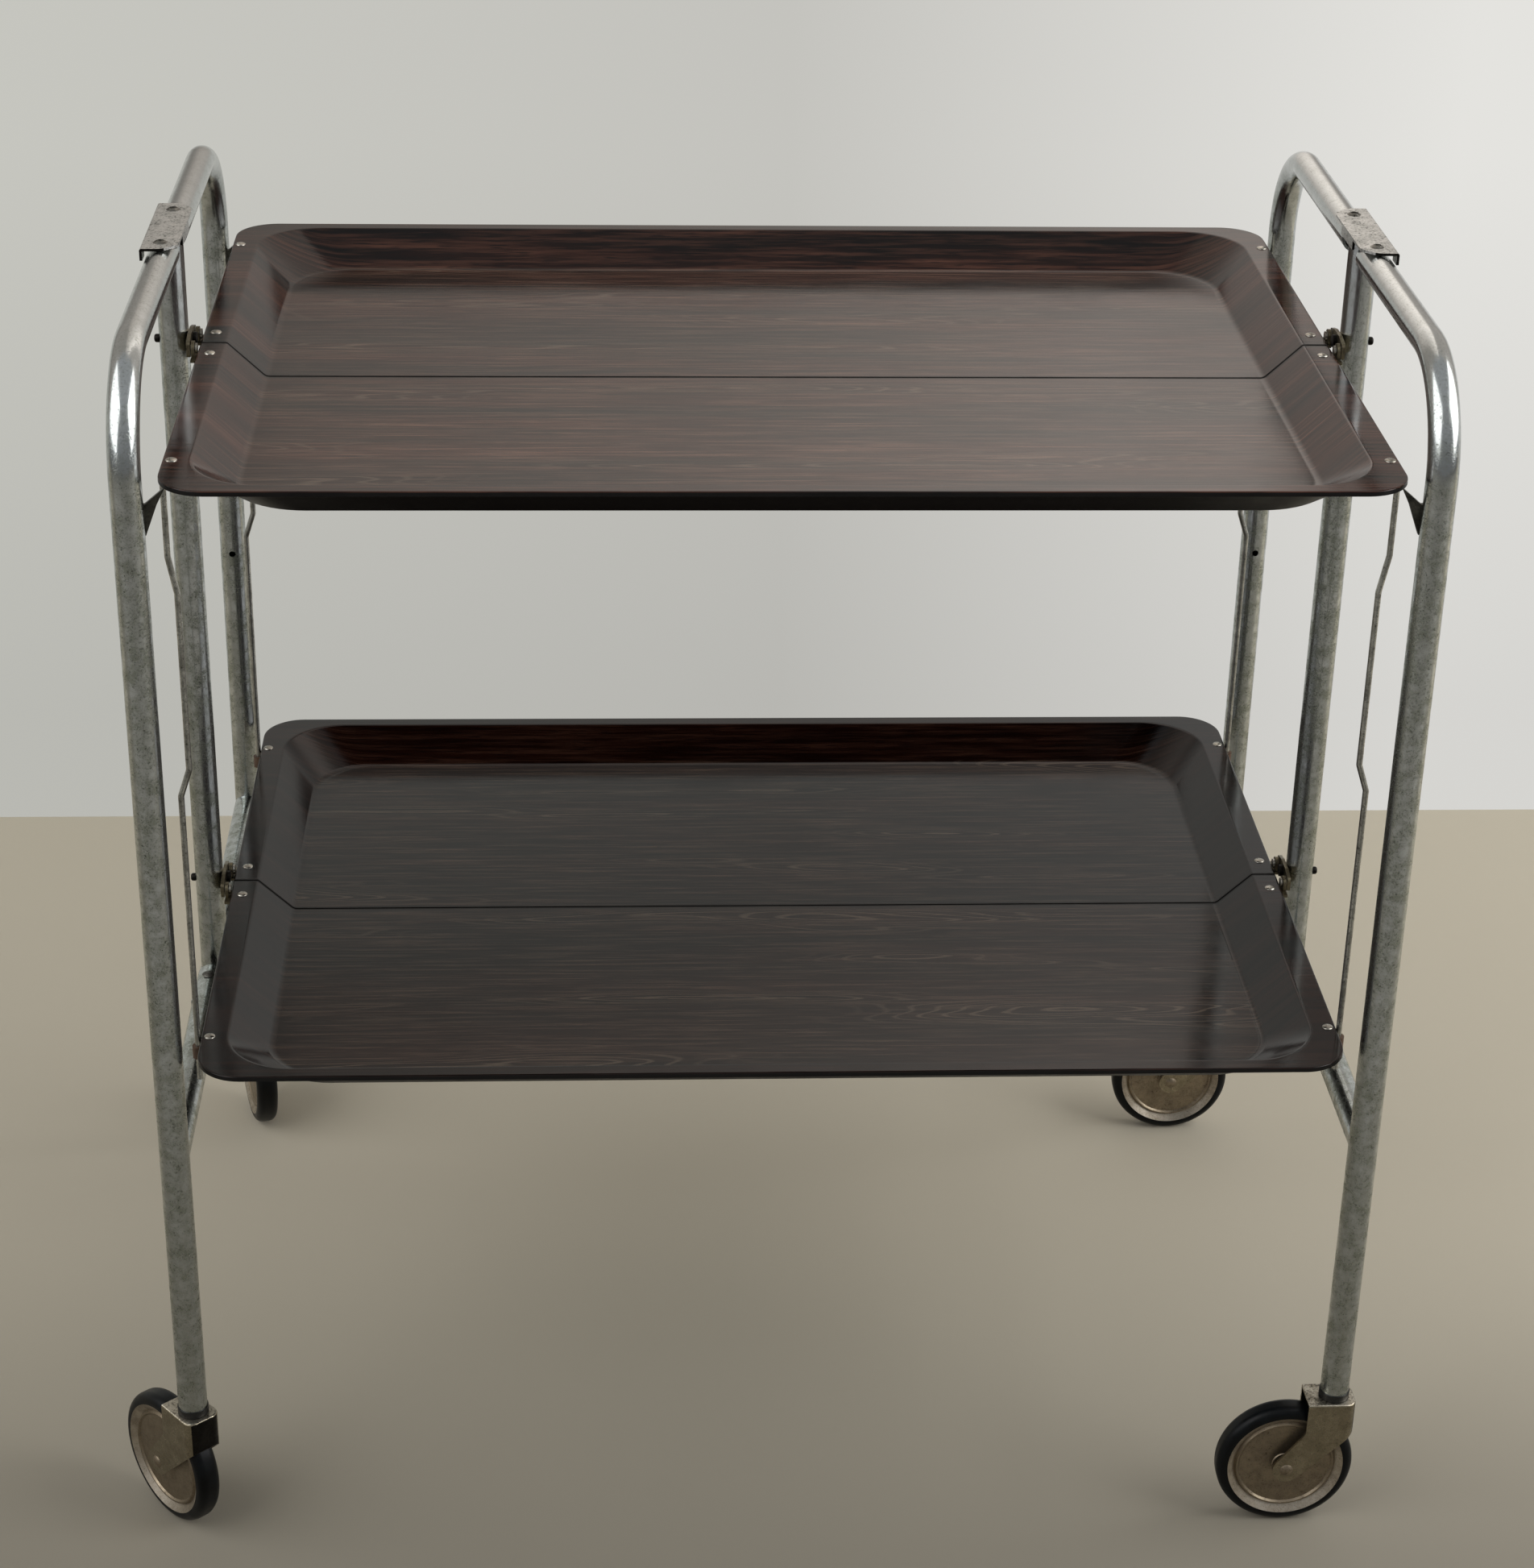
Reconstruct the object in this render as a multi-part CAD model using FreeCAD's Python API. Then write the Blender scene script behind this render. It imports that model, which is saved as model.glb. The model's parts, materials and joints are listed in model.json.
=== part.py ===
import FreeCAD, Part
import math
import os

# Folding tea trolley in millimetres. +X runs from the left handle to the right one, +Y from the front
# to the back and +Z up. The origin is on the floor, below the middle of the trays.
# Most pieces are drawn once, at the right end of the back half, and mirrored to where they repeat.

V = FreeCAD.Vector
ORIGIN = V(0, 0, 0)
X_AXIS = V(1, 0, 0)
Y_AXIS = V(0, 1, 0)
Z_AXIS = V(0, 0, 1)

# Clearances and cuts
running_gap = 0.05          # radial, for a pin or stem that turns in its hole
seat_gap = 0.1              # radial, for a fixed shank in its hole
slide_gap = 0.3             # between faces that pass each other
overrun = 5.0               # how far a cutting shape passes the faces that it cuts

# Trays, each formed from one sheet and split along the middle
tray_half_length = 306.0
tray_half_width = 218.0
tray_sheet = 2.6
tray_depth = 19.0
tray_corner_radius = 24.0
end_rim_width = 14.0
side_rim_width = 9.0
wall_run = 20.0
recess_corner_radius = 36.0
floor_corner_radius = 27.0
rim_bend_radius = 2.0       # where the rim turns down into the wall
floor_bend_radius = 5.0     # where the wall turns into the floor
seam_gap = 1.2

# Tube frame
tube_diameter = 16.0
tube_wall = 1.5
tray_end_gap = 6.0          # from the tray's end to the posts and legs
leg_inset = 10.0            # leg axes inside the tray's long sides
handle_height = 689.0       # handle axis above the floor
handle_bend_radius = 55.0
stretcher_height = 252.0    # stretcher axis above the floor
leg_end_height = 88.0
pivot_reach = 29.5          # gate pivots from the middle, across the trolley
gate_tail = 12.0            # tube past its pivot, towards the post
leg_hole_height = 428.0     # drilling in the inner side of each leg
leg_hole_diameter = 4.0
upper_rim_drop = 55.0       # upper rim below the handle's axis
lower_rim_rise = 54.0       # lower rim above the stretchers' axis

# Saddle plates that carry the gate pivots, over the handle and under the stretchers
saddle_half_length = 41.0
saddle_sheet = 1.4
saddle_lip_drop = 5.0
saddle_corner_cut = 8.0     # inner corners, which let the gates swing in
saddle_corner_radius = 8.0
saddle_edge_radius = 1.2
inner_lip_half_length = 14.0
outer_lip_length = 9.0
pivot_rivet_diameter = 5.0
pivot_head_diameter = 7.6
pivot_head_rise = 1.5
pivot_dish_diameter = 4.0
pivot_dish_depth = 1.0

# Tray hinges at the posts
hinge_pin_reach = 12.0      # pins from the middle, across the trolley
hinge_pin_rise = 1.0        # pins above the rim
hinge_pin_diameter = 3.4
hinge_head_diameter = 5.6
hinge_head_thickness = 1.1
bracket_thickness = 2.0
bracket_half_width = 15.5
bracket_drop = 4.6          # below the pins
bracket_rise = 6.2          # above the pins
bracket_crown_half_width = 6.0
bracket_corner_radius = 2.2
bolt_rise = 2.5             # bolt above the rim
bolt_diameter = 3.4
bolt_head_diameter = 7.0
bolt_head_thickness = 2.2
bolt_nut_diameter = 4.6
bolt_nut_length = 2.6
lug_sheet = 1.8
lug_foot_sheet = 1.5
lug_foot_length = 15.0      # along the trolley, from the ear's outer face
lug_inner_reach = 7.0       # edges of the lug from the middle, across the trolley
lug_outer_reach = 21.5
lug_ear_radius = 4.0
lug_rivet_inset = 6.5       # rivet from the tray's end
lug_rivet_reach = 17.0      # rivet from the middle, across the trolley

# Rim rivets
rim_rivet_diameter = 3.0
rim_head_diameter = 6.0
rim_head_rise = 1.1

# Tie rods from the upper leaves to the lower ones
rod_diameter = 3.2
rod_inset = 42.0            # rods inside the tray's long sides
rod_pin_drop = 9.0          # rod pins below the rims
rod_upper_outset = 0.6      # upper run outside the tray's end
rod_middle_inset = 3.0      # middle run inside the tray's end
rod_lower_outset = 2.0      # lower run outside the tray's end
rod_upper_run = 42.0        # upper pin to the upper jog
rod_upper_jog = 20.0
rod_middle_run = 98.0       # between the jogs
rod_lower_jog = 15.0
rod_bend_radius = 4.0
rod_tail = 17.0             # rod below the lower pin
rod_pin_inset = 12.0        # inner ends of the rod pins, inside the tray's end
rod_lug_half_width = 6.0
rod_lug_sheet = 1.6
rod_lug_length = 10.0
rod_lug_edge = 0.5          # foot's outer edge from the tray's end
rod_lug_rivet_inset = 4.4   # rivet from the tray's end
rod_ear_drop = 13.0         # ear below the rim
rod_open_gap = 0.3          # radial, at the lower pin
clip_diameter = 6.4
clip_half_height = 3.5

# Catches on the legs, below the corners of the upper rims
catch_sheet = 2.5
catch_offset = 4.0          # from the leg's axis towards the middle
catch_reach = 10.5          # tip from the leg
catch_height = 25.0
catch_notch_drop = 9.0
catch_body_width = 6.0

# Casters
wheel_diameter = 78.0
wheel_width = 14.0
caster_trail = 25.0
front_left_angle = -50.0    # how far a fork is swung round, in degrees
back_left_angle = -75.0
collar_height = 4.0
collar_diameter = 17.0
socket_depth = 26.0
stem_diameter = 8.0
stem_length = 24.0
fork_sheet = 1.5
fork_side_gap = 2.2         # wheel to cheek
fork_lead = 11.5            # fork ahead of the stem
fork_back = 16.0            # fork behind the stem, over the wheel
fork_end_drop = 20.0        # end wall below the fork's top
fork_boss_radius = 8.0
fork_edge_radius = 1.2
fork_corner_radius = 6.0    # leading corners, seen from above
fork_throat_radius = 9.0
axle_diameter = 5.0
axle_head_diameter = 7.5
axle_head_rise = 1.4
tyre_inner_radius = 33.0
tyre_shoulder_radius = 5.0
tyre_groove_depth = 1.5     # seat of the tyre in the wheel's rim
flange_inner_radius = 28.8
flange_dip = 2.8            # inner edge of the flange below the tyre's side
ridge_inner_radius = 26.0
ridge_rise = 1.0
disc_dip = 2.4              # face of the disc below the tyre's side
hub_radius = 7.0
hub_rise = 0.5
web_thickness = 5.0

# Values that follow from those above
tube_radius = tube_diameter / 2
end_reach = tray_half_length + tray_end_gap + tube_radius
leg_reach = tray_half_width - leg_inset
rod_reach = tray_half_width - rod_inset
upper_rim_height = handle_height - upper_rim_drop
lower_rim_height = stretcher_height + lower_rim_rise
tray_spacing = upper_rim_height - lower_rim_height
rod_lower_run = tray_spacing - rod_upper_run - rod_upper_jog - rod_middle_run - rod_lower_jog
gate_end_reach = pivot_reach - gate_tail
saddle_seat = tube_radius + slide_gap
saddle_half_width = saddle_seat + saddle_sheet
post_top = handle_height + saddle_seat
post_bottom = stretcher_height - saddle_seat
post_inner_face = end_reach - tube_radius
bracket_inner_face = post_inner_face - bracket_thickness
hinge_head_face = tray_half_length + slide_gap
ear_inner_face = hinge_head_face + hinge_head_thickness + slide_gap
ear_outer_face = ear_inner_face + lug_sheet
fork_top = leg_end_height - collar_height - slide_gap
fork_half_width = wheel_width / 2 + fork_side_gap + fork_sheet
wheel_radius = wheel_diameter / 2

ENDS = {"left": -1, "right": 1}
SIDES = {"front": -1, "back": 1}
TRAYS = {"upper": upper_rim_height, "lower": lower_rim_height}
CASTER_ANGLES = {
    ("left", "front"): front_left_angle,
    ("left", "back"): back_left_angle,
    ("right", "front"): 0,
    ("right", "back"): 0,
}


# Small building steps

def place(shape, end, side):
    """Mirrors a shape from the right back quarter to the named end and side."""
    if ENDS[end] < 0:
        shape = shape.mirror(ORIGIN, X_AXIS)
    if SIDES[side] < 0:
        shape = shape.mirror(ORIGIN, Y_AXIS)
    return shape


def box(low, high):
    """A box between two corners."""
    return Part.makeBox(high[0] - low[0], high[1] - low[1], high[2] - low[2], V(*low))


def rod(radius, start, direction, length):
    """A round bar."""
    return Part.makeCylinder(radius, length, start, direction)


def prism(points, depth):
    """A flat outline of 3-D points, pushed along a vector."""
    outline = Part.makePolygon([V(*p) for p in points] + [V(*points[0])])
    return Part.Face(outline).extrude(depth)


def edges_along(shape, direction, test):
    """Straight edges that run along a direction and whose middle passes a test."""
    found = []
    for edge in shape.Edges:
        if edge.Curve.TypeId != "Part::GeomLine":
            continue
        if abs(abs(edge.tangentAt(edge.FirstParameter).dot(direction)) - 1) < 1e-6:
            if test(edge.CenterOfMass):
                found.append(edge)
    return found


def path_wire(points, radius):
    """A wire through the points, with the same bend radius at each corner."""
    points = [V(*p) for p in points]
    edges = []
    start = points[0]
    for before, corner, after in zip(points, points[1:], points[2:]):
        inward = (before - corner).normalize()
        onward = (after - corner).normalize()
        half_angle = inward.getAngle(onward) / 2
        reach = radius / math.tan(half_angle)
        bisector = (inward + onward).normalize()
        first = corner + inward * reach
        last = corner + onward * reach
        crown = corner + bisector * (radius / math.sin(half_angle) - radius)
        edges.append(Part.LineSegment(start, first).toShape())
        edges.append(Part.Arc(first, crown, last).toShape())
        start = last
    edges.append(Part.LineSegment(start, points[-1]).toShape())
    return Part.Wire(edges)


def bar_along(points, bend_radius, radius):
    """A round bar swept along a bent path."""
    path = path_wire(points, bend_radius)
    start = V(*points[0])
    heading = V(*points[1]) - start
    ring = Part.Wire(Part.makeCircle(radius, start, heading))
    return path.makePipeShell([ring], True, True)


def rivet(top, shank_radius, head_radius, rise, grip):
    """A rivet along Z with a domed head at the top and another below its grip."""
    ball = (head_radius ** 2 + rise ** 2) / (2 * rise)
    half_turn = math.asin(head_radius / ball) / 2
    crown = V(ball * math.sin(half_turn), 0, rise - ball + ball * math.cos(half_turn))
    rim = V(head_radius, 0, 0)
    tip = V(0, 0, rise)
    outline = Part.Wire([
        Part.LineSegment(ORIGIN, rim).toShape(),
        Part.Arc(rim, crown, tip).toShape(),
        Part.LineSegment(tip, ORIGIN).toShape(),
    ])
    head = Part.Face(outline).revolve(ORIGIN, Z_AXIS, 360)
    tail = head.mirror(ORIGIN, Z_AXIS)
    tail.translate(V(0, 0, -grip))
    shank = rod(shank_radius, V(0, 0, -grip), Z_AXIS, grip)
    whole = head.fuse([shank, tail]).removeSplitter()
    whole.translate(top)
    return whole


def rounded_rectangle(half_x, half_y, radius, z):
    """A wire round a rectangle with round corners."""
    edges = []
    turn = math.sqrt(0.5)
    corners = [(1, 1), (-1, 1), (-1, -1), (1, -1)]
    arcs = []
    for sx, sy in corners:
        centre = V(sx * (half_x - radius), sy * (half_y - radius), z)
        side_point = centre + V(sx * radius, 0, 0)
        end_point = centre + V(0, sy * radius, 0)
        middle = centre + V(sx * radius * turn, sy * radius * turn, 0)
        if sx == sy:
            arcs.append((side_point, middle, end_point))
        else:
            arcs.append((end_point, middle, side_point))
    for arc, following in zip(arcs, arcs[1:] + arcs[:1]):
        edges.append(Part.Arc(*arc).toShape())
        edges.append(Part.LineSegment(arc[2], following[0]).toShape())
    return Part.Wire(edges)


# Tube frame

def post():
    """The tube between the two saddles at the right end, drilled for the bracket bolts."""
    height = post_top - post_bottom
    base = V(end_reach, 0, post_bottom)
    tube = rod(tube_radius, base, Z_AXIS, height)
    tube = tube.cut(rod(tube_radius - tube_wall, base, Z_AXIS, height))
    for rim in TRAYS.values():
        start = V(post_inner_face - overrun, 0, rim + bolt_rise)
        tube = tube.cut(rod(bolt_diameter / 2 + seat_gap, start, X_AXIS, tube_diameter + 2 * overrun))
    return tube


def pivot_hole(height):
    """The drilling for a gate's pivot rivet through a tube at this height."""
    start = V(end_reach, pivot_reach, height - tube_radius - overrun)
    return rod(pivot_rivet_diameter / 2 + running_gap, start, Z_AXIS, tube_diameter + 2 * overrun)


def gate_tube():
    """Half a handle and the leg below it, bent from one tube."""
    route = [
        (end_reach, gate_end_reach, handle_height),
        (end_reach, leg_reach, handle_height),
        (end_reach, leg_reach, leg_end_height),
    ]
    tube = bar_along(route, handle_bend_radius, tube_radius)
    tube = tube.cut(bar_along(route, handle_bend_radius, tube_radius - tube_wall))
    hole_start = V(end_reach, leg_reach - tube_radius - overrun, leg_hole_height)
    hole = rod(leg_hole_diameter / 2, hole_start, Y_AXIS, overrun + tube_radius)
    return tube.cut([pivot_hole(handle_height), hole])


def stretcher():
    """The lower tube of a gate, from its pivot to the leg, which its end fits round."""
    start = V(end_reach, gate_end_reach, stretcher_height)
    length = leg_reach - gate_end_reach
    tube = rod(tube_radius, start, Y_AXIS, length)
    tube = tube.cut(rod(tube_radius - tube_wall, start, Y_AXIS, length))
    leg_start = V(end_reach, leg_reach, stretcher_height - tube_diameter)
    leg = rod(tube_radius, leg_start, Z_AXIS, 2 * tube_diameter)
    return tube.cut(leg).cut(pivot_hole(stretcher_height))


def saddle():
    """A saddle plate over a tube along Y at the origin, with the lips that hold and stop the gates."""
    top = saddle_seat + saddle_sheet
    cut_y = saddle_half_length - saddle_corner_cut
    cut_x = saddle_half_width - saddle_corner_cut
    outline = [
        (saddle_half_width, -saddle_half_length, saddle_seat),
        (saddle_half_width, saddle_half_length, saddle_seat),
        (-cut_x, saddle_half_length, saddle_seat),
        (-saddle_half_width, cut_y, saddle_seat),
        (-saddle_half_width, -cut_y, saddle_seat),
        (-cut_x, -saddle_half_length, saddle_seat),
    ]
    plate = prism(outline, V(0, 0, saddle_sheet))
    plate = plate.makeFillet(saddle_corner_radius, edges_along(plate, Z_AXIS, lambda c: c.x < 0))
    lips = [box(
        (-saddle_half_width, -inner_lip_half_length, saddle_seat - saddle_lip_drop),
        (-saddle_seat, inner_lip_half_length, top),
    )]
    for side in SIDES.values():
        ends = sorted((side * saddle_half_length, side * (saddle_half_length - outer_lip_length)))
        lips.append(box(
            (saddle_seat, ends[0], saddle_seat - saddle_lip_drop),
            (saddle_half_width, ends[1], top),
        ))
    plate = plate.fuse(lips).removeSplitter()
    outer_edge = edges_along(plate, Y_AXIS, lambda c: c.z > top - saddle_sheet / 2 and c.x > 0)
    plate = plate.makeFillet(saddle_edge_radius, outer_edge)
    for side in SIDES.values():
        start = V(0, side * pivot_reach, saddle_seat - overrun)
        plate = plate.cut(rod(pivot_rivet_diameter / 2 + seat_gap, start, Z_AXIS, 2 * overrun))
    return plate


def handle_plate():
    """The saddle on top of the handle at the right end."""
    plate = saddle()
    plate.translate(V(end_reach, 0, handle_height))
    return plate


def foot_plate():
    """The same saddle, upside down, below the stretchers."""
    plate = saddle().mirror(ORIGIN, Z_AXIS)
    plate.translate(V(end_reach, 0, stretcher_height))
    return plate


def pivot_rivet():
    """A pivot rivet through a saddle at the origin and the tube below it."""
    top = V(0, pivot_reach, saddle_seat + saddle_sheet)
    grip = saddle_seat + saddle_sheet + saddle_seat
    piece = rivet(top, pivot_rivet_diameter / 2, pivot_head_diameter / 2, pivot_head_rise, grip)
    dish_start = top + Z_AXIS * (pivot_head_rise - pivot_dish_depth)
    return piece.cut(rod(pivot_dish_diameter / 2, dish_start, Z_AXIS, pivot_dish_depth + overrun))


def handle_rivet():
    """The rivet of one half of the handle."""
    piece = pivot_rivet()
    piece.translate(V(end_reach, 0, handle_height))
    return piece


def foot_rivet():
    """The rivet of one stretcher."""
    piece = pivot_rivet().mirror(ORIGIN, Z_AXIS)
    piece.translate(V(end_reach, 0, stretcher_height))
    return piece


def catch():
    """The pointed catch on a leg, whose tip stands below the corner of the upper rim."""
    tip = upper_rim_height - tray_sheet - slide_gap
    face = post_inner_face
    y = leg_reach - catch_offset - catch_sheet / 2
    outline = [
        (end_reach, y, tip - catch_height),
        (face, y, tip - catch_height),
        (face - catch_body_width, y, tip - catch_notch_drop),
        (face - catch_reach, y, tip),
        (face, y, tip - catch_notch_drop),
        (end_reach, y, tip - catch_notch_drop),
    ]
    plate = prism(outline, V(0, catch_sheet, 0))
    leg = rod(tube_radius, V(end_reach, leg_reach, tip - catch_height - overrun), Z_AXIS,
              catch_height + 2 * overrun)
    return plate.cut(leg)


# Trays

def wall_offset():
    """How far the outside of the sloped wall stands outside its inside, at the sheet's thickness."""
    slope = math.hypot(wall_run, tray_depth)
    return tray_sheet * (tray_depth / slope - wall_run / tray_depth * (1 - wall_run / slope))


def recess(growth, top, bottom):
    """The tapered hollow of a tray between two heights, grown outwards on all sides."""
    half_x = tray_half_length - end_rim_width + growth
    half_y = tray_half_width - side_rim_width + growth
    mouth = rounded_rectangle(half_x, half_y, recess_corner_radius + growth, top)
    floor = rounded_rectangle(half_x - wall_run, half_y - wall_run, floor_corner_radius + growth, bottom)
    return Part.makeLoft([mouth, floor], True, True)


def ring_edges(shape, z):
    """Edges that lie in a level plane."""
    level = []
    for edge in shape.Edges:
        bounds = edge.BoundBox
        if abs(bounds.ZMin - z) < 1e-4 and abs(bounds.ZMax - z) < 1e-4:
            level.append(edge)
    return level


def tray(rim):
    """A whole tray, before it is split."""
    plate_edge = rounded_rectangle(tray_half_length, tray_half_width, tray_corner_radius, rim - tray_sheet)
    sheet = Part.Face(plate_edge).extrude(V(0, 0, tray_sheet))
    bowl = recess(wall_offset(), rim - tray_sheet, rim - tray_sheet - tray_depth)
    hollow = recess(0, rim, rim - tray_depth)
    hollow = hollow.makeFillet(floor_bend_radius, ring_edges(hollow, rim - tray_depth))
    whole = sheet.fuse(bowl).cut(hollow)
    mouth = [e for e in ring_edges(whole, rim)
             if max(abs(e.CenterOfMass.x) - (tray_half_length - end_rim_width),
                    abs(e.CenterOfMass.y) - (tray_half_width - side_rim_width)) < overrun / 2]
    return whole.makeFillet(rim_bend_radius, mouth)


def rivet_spots(rim):
    """Where the rivets pass the rim of a leaf at its right end: hinge lug, then rod lug."""
    hinge_x = tray_half_length - lug_rivet_inset
    rod_x = tray_half_length - rod_lug_rivet_inset
    return [V(hinge_x, lug_rivet_reach, rim), V(rod_x, rod_reach, rim)]


def leaf(rim):
    """The back half of a tray, drilled for its rivets."""
    low = (-tray_half_length - overrun, seam_gap / 2, rim - tray_depth - tray_sheet - overrun)
    high = (tray_half_length + overrun, tray_half_width + overrun, rim + overrun)
    half = tray(rim).common(box(low, high))
    for spot in rivet_spots(rim):
        drill = rod(rim_rivet_diameter / 2 + seat_gap, spot - Z_AXIS * overrun, Z_AXIS, 2 * overrun)
        half = half.cut([drill, drill.mirror(ORIGIN, X_AXIS)])
    return half


def hinge_lug(rim):
    """The bent lug below the rim whose ear turns on the hinge pin."""
    under = rim - tray_sheet
    pin_z = rim + hinge_pin_rise
    foot = box((ear_outer_face - lug_foot_length, lug_inner_reach, under - lug_foot_sheet),
               (ear_outer_face, lug_outer_reach, under))
    stand = box((ear_inner_face, hinge_pin_reach - lug_ear_radius, under - lug_foot_sheet),
                (ear_outer_face, hinge_pin_reach + lug_ear_radius, pin_z))
    crown = rod(lug_ear_radius, V(ear_inner_face, hinge_pin_reach, pin_z), X_AXIS, lug_sheet)
    lug = foot.fuse([stand, crown]).removeSplitter()
    hole = rod(hinge_pin_diameter / 2 + running_gap, V(ear_inner_face - overrun, hinge_pin_reach, pin_z),
               X_AXIS, lug_sheet + 2 * overrun)
    drill = rod(rim_rivet_diameter / 2 + seat_gap, rivet_spots(rim)[0] - Z_AXIS * 2 * overrun, Z_AXIS,
                3 * overrun)
    return lug.cut([hole, drill])


def rod_lug(rim, hole_gap):
    """The bent lug below the rim whose ear holds the pin of a tie rod."""
    under = rim - tray_sheet
    outer = tray_half_length - rod_lug_edge
    inner = outer - rod_lug_length
    low_y = rod_reach - rod_lug_half_width
    high_y = rod_reach + rod_lug_half_width
    foot = box((inner, low_y, under - lug_foot_sheet), (outer, high_y, under))
    ear = box((inner, low_y, rim - rod_ear_drop), (inner + rod_lug_sheet, high_y, under))
    lug = foot.fuse(ear).removeSplitter()
    corners = edges_along(lug, X_AXIS, lambda c: c.z < rim - rod_ear_drop + slide_gap)
    lug = lug.makeFillet(rod_lug_half_width / 2, corners)
    hole = rod(rod_diameter / 2 + hole_gap, V(inner - overrun, rod_reach, rim - rod_pin_drop),
               X_AXIS, rod_lug_length)
    drill = rod(rim_rivet_diameter / 2 + seat_gap, rivet_spots(rim)[1] - Z_AXIS * 2 * overrun, Z_AXIS,
                3 * overrun)
    return lug.cut([hole, drill])


def rim_rivets(rim):
    """The two rivets at the right end of a leaf."""
    grip = tray_sheet + lug_foot_sheet
    return [rivet(spot, rim_rivet_diameter / 2, rim_head_diameter / 2, rim_head_rise, grip)
            for spot in rivet_spots(rim)]


# Hinges at the posts

def bracket(rim):
    """The plate on the post's inner side that carries the two hinge pins of a tray."""
    pin_z = rim + hinge_pin_rise
    low = pin_z - bracket_drop
    high = pin_z + bracket_rise
    shoulder = pin_z + lug_ear_radius
    x = bracket_inner_face
    outline = [
        (x, -bracket_half_width, low),
        (x, bracket_half_width, low),
        (x, bracket_half_width, shoulder),
        (x, bracket_crown_half_width, high),
        (x, -bracket_crown_half_width, high),
        (x, -bracket_half_width, shoulder),
    ]
    plate = prism(outline, V(bracket_thickness, 0, 0))
    plate = plate.makeFillet(bracket_corner_radius, edges_along(plate, X_AXIS, lambda c: True))
    start_x = bracket_inner_face - overrun
    length = bracket_thickness + 2 * overrun
    cuts = [rod(bolt_diameter / 2 + seat_gap, V(start_x, 0, rim + bolt_rise), X_AXIS, length)]
    for side in SIDES.values():
        centre = V(start_x, side * hinge_pin_reach, pin_z)
        cuts.append(rod(hinge_pin_diameter / 2 + seat_gap, centre, X_AXIS, length))
    return plate.cut(cuts)


def bracket_bolt(rim):
    """The bolt through a bracket and its post, with a head inside and a cap nut outside."""
    z = rim + bolt_rise
    head = rod(bolt_head_diameter / 2, V(bracket_inner_face - bolt_head_thickness, 0, z), X_AXIS,
               bolt_head_thickness)
    outer_face = end_reach + tube_radius
    shank = rod(bolt_diameter / 2, V(bracket_inner_face, 0, z), X_AXIS, outer_face - bracket_inner_face)
    nut = rod(bolt_nut_diameter / 2, V(outer_face, 0, z), X_AXIS, bolt_nut_length)
    rim_circle = [e for e in nut.Edges if e.BoundBox.XMin > outer_face + bolt_nut_length - slide_gap]
    nut = nut.makeFillet(bolt_nut_length / 2, rim_circle)
    return head.fuse([shank, nut]).removeSplitter()


def hinge_pin(rim):
    """A pin fixed in the bracket, with its head next to the tray's end."""
    centre = V(hinge_head_face, hinge_pin_reach, rim + hinge_pin_rise)
    head = rod(hinge_head_diameter / 2, centre, X_AXIS, hinge_head_thickness)
    shank = rod(hinge_pin_diameter / 2, centre, X_AXIS, post_inner_face - hinge_head_face)
    return head.fuse(shank).removeSplitter()


# Tie rods

def tie_rod():
    """The bent wire that lifts a lower leaf with the upper one."""
    top = TRAYS["upper"] - rod_pin_drop
    low = TRAYS["lower"] - rod_pin_drop - rod_tail
    upper_x = tray_half_length + rod_upper_outset
    middle_x = tray_half_length - rod_middle_inset
    lower_x = tray_half_length + rod_lower_outset
    upper_jog = top - rod_upper_run
    lower_jog = low + rod_tail + rod_lower_run
    route = [
        (tray_half_length - rod_pin_inset, rod_reach, top),
        (upper_x, rod_reach, top),
        (upper_x, rod_reach, upper_jog),
        (middle_x, rod_reach, upper_jog - rod_upper_jog),
        (middle_x, rod_reach, lower_jog + rod_lower_jog),
        (lower_x, rod_reach, lower_jog),
        (lower_x, rod_reach, low),
    ]
    return bar_along(route, rod_bend_radius, rod_diameter / 2)


def rod_clip():
    """The collar on a tie rod, with the pin that turns in the lower leaf's lug."""
    z = TRAYS["lower"] - rod_pin_drop
    x = tray_half_length + rod_lower_outset
    tip_x = tray_half_length - rod_pin_inset
    collar = rod(clip_diameter / 2, V(x, rod_reach, z - clip_half_height), Z_AXIS, 2 * clip_half_height)
    pin = rod(rod_diameter / 2, V(tip_x, rod_reach, z), X_AXIS, x - tip_x)
    bore = rod(rod_diameter / 2, V(x, rod_reach, z - overrun), Z_AXIS, 2 * overrun)
    return collar.fuse(pin).removeSplitter().cut(bore)


# Casters, drawn with the stem on the Z axis and the wheel trailing towards -X

def caster_socket():
    """The collar and plug in the end of a leg, bored for the stem."""
    base = leg_end_height - collar_height
    collar = rod(collar_diameter / 2, V(0, 0, base), Z_AXIS, collar_height)
    plug = rod(tube_radius - tube_wall - seat_gap, V(0, 0, leg_end_height), Z_AXIS, socket_depth)
    bore = rod(stem_diameter / 2 + running_gap, V(0, 0, base - overrun), Z_AXIS,
               overrun + collar_height + socket_depth)
    return collar.fuse(plug).removeSplitter().cut(bore)


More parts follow.
